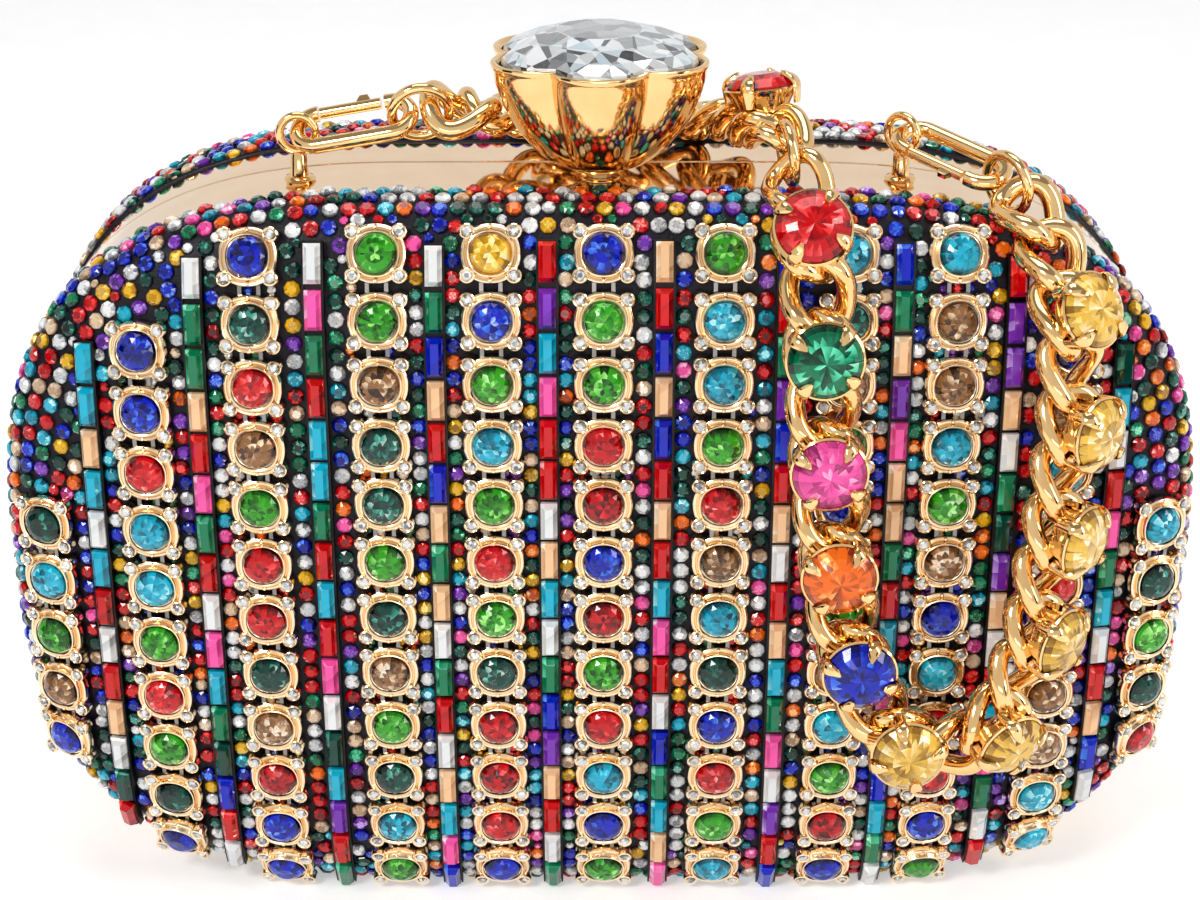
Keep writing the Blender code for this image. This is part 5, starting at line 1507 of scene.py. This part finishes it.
def add_cup(builder, seat):
    """A turned cup with four prongs folded over the stone's crown."""
    centre, along, across, out = seat
    base = CHAIN_TWIST + CHAIN_WIRE_RADIUS - SETTING_SOLDER
    top = base + SETTING_HEIGHT
    profile = [(radius, base + rise) for radius, rise in SETTING_FOOT_PROFILE]
    profile += [(SETTING_RIM_RADIUS + reach, top + rise) for reach, rise in SETTING_RIM_PROFILE]
    profile += [(radius, base + rise) for radius, rise in SETTING_FLOOR_PROFILE]
    add_lathe(builder, (centre, across, along, out), profile, CUP_SIDES)
    rows = smooth_rows(PRONG_ROWS, PRONG_ROW_STEPS)
    for turn in range(4):
        angle = math.pi / 4 + turn * math.pi / 2 + PRONG_TURN
        reach_way = across * math.cos(angle) + along * math.sin(angle)
        side_way = -across * math.sin(angle) + along * math.cos(angle)
        rings = []
        for index, (reach, height, half) in enumerate(rows):
            spot = centre + reach_way * (SETTING_RIM_RADIUS + reach) + out * (top + height)
            before, after = rows[max(0, index - 1)], rows[min(len(rows) - 1, index + 1)]
            along_prong = (reach_way * (after[0] - before[0]) + out * (after[1] - before[1])).normalized()
            face_way = side_way.cross(along_prong).normalized() * PRONG_THICKNESS
            if face_way.dot(reach_way + out * PRONG_LEAN) < 0:
                face_way.negate()
            rings.append([spot + side_way * half * reach_share + face_way * face_share
                          for reach_share, face_share in PRONG_SHAPE])
        add_loft(builder, rings)


def hook_points(seat):
    """The hook's wire from its gate's tip round its tail and nose."""
    half = HOOK_HALF_WIDTH
    points = [on_seat(seat, GATE_END + CLEARANCE + GATE_WIRE_RADIUS / 2, -half)]
    for middle, sign in ((HOOK_LENGTH - half, 1), (half, -1)):
        for step in range(HOOK_STEPS + 1):
            angle = math.pi * step / HOOK_STEPS
            reach = sign * half
            points.append(on_seat(seat, middle + reach * math.sin(angle), -reach * math.cos(angle)))
    points.append(on_seat(seat, GATE_START - CLEARANCE, -half))
    return points


def make_smooth_hook(side, seat, body):
    builder = bmesh.new()
    add_sweep(builder, hook_points(seat), HOOK_SHOWN_RADIUS, WIRE_SIDES, seat[3], closed=False)
    gilt_piece(side + "_hook", builder, "front_half")
    gate = bmesh.new()
    span = GATE_END - GATE_START
    wire = [on_seat(seat, GATE_START + span * step / GATE_STEPS, -HOOK_HALF_WIDTH)
            for step in range(GATE_STEPS + 1)]
    add_sweep(gate, wire, GATE_SHOWN_RADIUS, WIRE_SIDES, seat[3], closed=False)
    middle = GATE_START + span * LEVER_SHARE
    add_loft(gate, [[on_seat(seat, middle + a, -HOOK_HALF_WIDTH - reach, b)
                     for a, b in box_shape(-half_length, -half_width, half_length, half_width)]
                    for reach, half_length, half_width in LEVER_ROWS])
    finish(side + "_gate_smooth", gate, [GILT], body, [side + "_hook_gate"])


def add_jump_ring(builder, start, end, facing):
    along = (end - start).normalized()
    across = along.cross(facing).normalized()
    out = across.cross(along)
    centre = (start + end) / 2
    points = [centre + along * a + out * b for a, b in regular_shape(RING_RADIUS, WIRE_STEPS)]
    add_sweep(builder, points, RING_WIRE_RADIUS, RING_SIDES, across, closed=True)


def make_smooth_strap():
    rng = random.Random(STRAP_SEED)
    path = strap_path()
    left_seat, right_seat = hook_seats(path)
    make_smooth_ear("left_ear", -1, left_seat[2])
    make_smooth_ear("right_ear", 1, right_seat[2])
    make_smooth_hook("left", left_seat, "left_gate")
    make_smooth_hook("right", right_seat, "right_gate")
    left_tail = left_seat[0] + left_seat[1] * HOOK_LENGTH
    right_tail = right_seat[0] + right_seat[1] * HOOK_LENGTH
    upper_places, loop_places = strap_places(path, left_tail, right_tail)
    upper = [strap_seat(path, length) for length in upper_places]
    loop = [strap_seat(path, length) for length in loop_places]
    for name, start, end, facing in (
        ("left_jump_ring", left_tail, link_end(upper[0], -1), left_seat[3] + upper[0][3]),
        ("middle_jump_ring", link_end(upper[-1], 1), link_end(loop[0], -1), upper[-1][3] + loop[0][3]),
        ("right_jump_ring", link_end(loop[-1], 1), right_tail, loop[-1][3] + right_seat[3]),
    ):
        builder = bmesh.new()
        add_jump_ring(builder, start, end, facing)
        gilt_piece(name, builder, "front_half")
    nodes = {int(name.split("_")[2]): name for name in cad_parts
             if name.startswith(("upper_stone_", "loop_stone_"))}
    number = 0
    for section, seats, first_set, body in (
        ("upper", upper, len(upper) - 2, "front_half"),
        ("loop", loop, 1, "strap_loop"),
    ):
        builder = bmesh.new()
        for index, seat in enumerate(seats):
            near_joint = seat is upper[-1] or seat is loop[0]
            add_curb(builder, seat, CHAIN_WIRE_RADIUS if near_joint else CURB_RADIUS)
            if index >= first_set and index < len(seats) - 1 and (index - first_set) % 2 == 0:
                add_cup(builder, seat)
                number += 1
                centre, along, across, out = seat
                colour = nodes[number].split("_")[-1]
                stones = Stones()
                base = CHAIN_TWIST + CHAIN_WIRE_RADIUS - SETTING_SOLDER + SETTING_HEIGHT + CLEARANCE
                stones.add_round((centre, across, along, out), STRAP_STONE_RADIUS, base, "large",
                                 stone_number(rng))
                finish(f"strap_stone_{number:02d}", stones.builder, [crystal(colour, "large")], body,
                       [nodes[number]], degrees=0)
        gilt_piece(section + "_chain", builder, body)


# Studio


def paint_inner_nodes():
    """Procedural metal on the frame's own small latch and hinge parts."""
    gilt = ("front_hinge_leaf", "back_hinge_leaf", "catch_keeper", "latch_bracket", "clasp_stem")
    for name in gilt + ("hinge_pin", "latch_spring"):
        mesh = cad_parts[name].data
        for index in range(len(mesh.materials)):
            mesh.materials[index] = INNER_METAL if name in gilt else STEEL


def make_studio():
    """A pale round floor that runs up into a backdrop all round, with soft lamps."""
    builder = bmesh.new()
    rows = [(reach, 0.0) for reach in FLOOR_RADII]
    for step in range(1, SWEEP_STEPS + 1):
        angle = math.pi / 2 * step / SWEEP_STEPS
        reach = FLOOR_RADII[-1] + SWEEP_RADIUS * math.sin(angle)
        rows.append((reach, SWEEP_RADIUS * (1 - math.cos(angle))))
    rows.append((FLOOR_RADII[-1] + SWEEP_RADIUS, WALL_TOP))
    rings = [[builder.verts.new((x, y, height)) for x, y in regular_shape(reach, FLOOR_SIDES)]
             for reach, height in rows]
    builder.faces.new(rings[0])
    for first, second in zip(rings, rings[1:]):
        facet(builder, first, second)
    n = Nodes("studio_paper")
    grain = n.noise(n.object_place(), 90.0, 4.0)
    n.surface(Base_Color=n.ramp(grain, ((0.3, FLOOR_LOW), (0.7, FLOOR_HIGH))), Roughness=0.75,
              Normal=n.bump(grain, 0.05, 0.001))
    path = n.add("ShaderNodeLightPath").outputs
    seen = n.maths("MAXIMUM", path["Is Camera Ray"], n.maths("MAXIMUM", path["Is Glossy Ray"],
                                                             path["Is Transmission Ray"]))
    n.surface(Emission_Color=(1.0, 1.0, 1.0, 1.0), Emission_Strength=n.times(seen, FLOOR_GLOW))
    sweep = make_object("studio_sweep", builder, [n.material], 180)
    world = bpy.data.worlds.new("studio_air")
    world.use_nodes = True
    world.node_tree.nodes["Background"].inputs["Color"].default_value = (*WORLD_COLOUR, 1.0)
    world.node_tree.nodes["Background"].inputs["Strength"].default_value = WORLD_LEVEL
    bpy.context.scene.world = world
    for name, place, aim, size, power, colour in LAMPS:
        lamp = bpy.data.lights.new(name, "AREA")
        lamp.shape = "RECTANGLE"
        lamp.size, lamp.size_y = size
        lamp.energy = power
        lamp.color = colour
        item = bpy.data.objects.new(name, lamp)
        item.location = place
        item.rotation_euler = (Vector(aim) - Vector(place)).to_track_quat("-Z", "Y").to_euler()
        bpy.context.scene.collection.objects.link(item)
    for name, place, size in CARDS:
        card_builder = bmesh.new()
        add_box(card_builder, Vector(size) / -2, Vector(size) / 2)
        card = make_object(name, card_builder, [CARD_BLACK])
        card.location = place


def make_camera():
    camera = bpy.data.objects.new("camera", bpy.data.cameras.new("camera"))
    camera.data.sensor_width = CAMERA_SENSOR
    camera.data.lens = CAMERA_LENS
    camera.data.clip_start, camera.data.clip_end = CAMERA_CLIP
    target = Vector(CAMERA_AIM) + SHIFT
    camera.location = Vector(CAMERA_PLACE) + SHIFT
    camera.rotation_euler = (target - camera.location).to_track_quat("-Z", "Y").to_euler()
    bpy.context.scene.collection.objects.link(camera)
    bpy.context.scene.camera = camera


FLOOR_RADII = (0.3, 0.8, 1.3)
FLOOR_SIDES = 64
SWEEP_RADIUS = 0.6
SWEEP_STEPS = 12
WALL_TOP = 2.2
FLOOR_LOW = (0.80, 0.80, 0.81)
FLOOR_HIGH = (0.86, 0.86, 0.87)
FLOOR_GLOW = 0.42
CAMERA_SENSOR = 36.0
CAMERA_LENS = 69.3
CAMERA_CLIP = (0.01, 20.0)
CAMERA_PLACE = (0.0, -0.3455, 0.2178)
CAMERA_AIM = (0.0, 0.0, 0.0669)
WORLD_COLOUR = (1.0, 1.0, 1.0)
WORLD_LEVEL = 0.30
# Name, place, aim, size, power, colour
LAMPS = (
    ("key_softbox", (-0.55, -0.75, 0.85), (0.0, 0.0, 0.07), (0.30, 0.24), 6.5, (1.0, 0.98, 0.95)),
    ("right_strip", (0.75, -0.35, 0.45), (0.0, 0.0, 0.07), (0.16, 0.70), 3.0, (1.0, 0.97, 0.93)),
    ("top_softbox", (0.0, 0.10, 1.00), (0.0, 0.0, 0.07), (0.60, 0.45), 3.2, (1.0, 1.0, 1.0)),
    ("low_fill", (0.0, -1.10, 0.18), (0.0, 0.0, 0.07), (0.70, 0.12), 1.0, (1.0, 1.0, 1.0)),
)
# Name, place, size
CARDS = (
    ("left_card", (-0.60, -0.10, 0.12), (0.02, 0.30, 0.24)),
    ("right_card", (0.62, -0.55, 0.12), (0.02, 0.25, 0.24)),
)
CARD_BLACK = metal("card_black", (0.01, 0.01, 0.01), (0.02, 0.02, 0.02), 0.6)
bpy.context.scene.view_settings.view_transform = "Standard"

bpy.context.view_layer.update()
for side_name, side in (("front", -1), ("back", 1)):
    make_smooth_shell(side_name + "_shell", side)
    make_smooth_frame(side_name + "_frame", side)
    make_smooth_lining(side_name + "_lining", side)
seats_taken, stone_strips = make_front()
make_paving(seats_taken, stone_strips)
make_smooth_knob()
make_collar()
make_smooth_strap()
paint_inner_nodes()
make_studio()
make_camera()
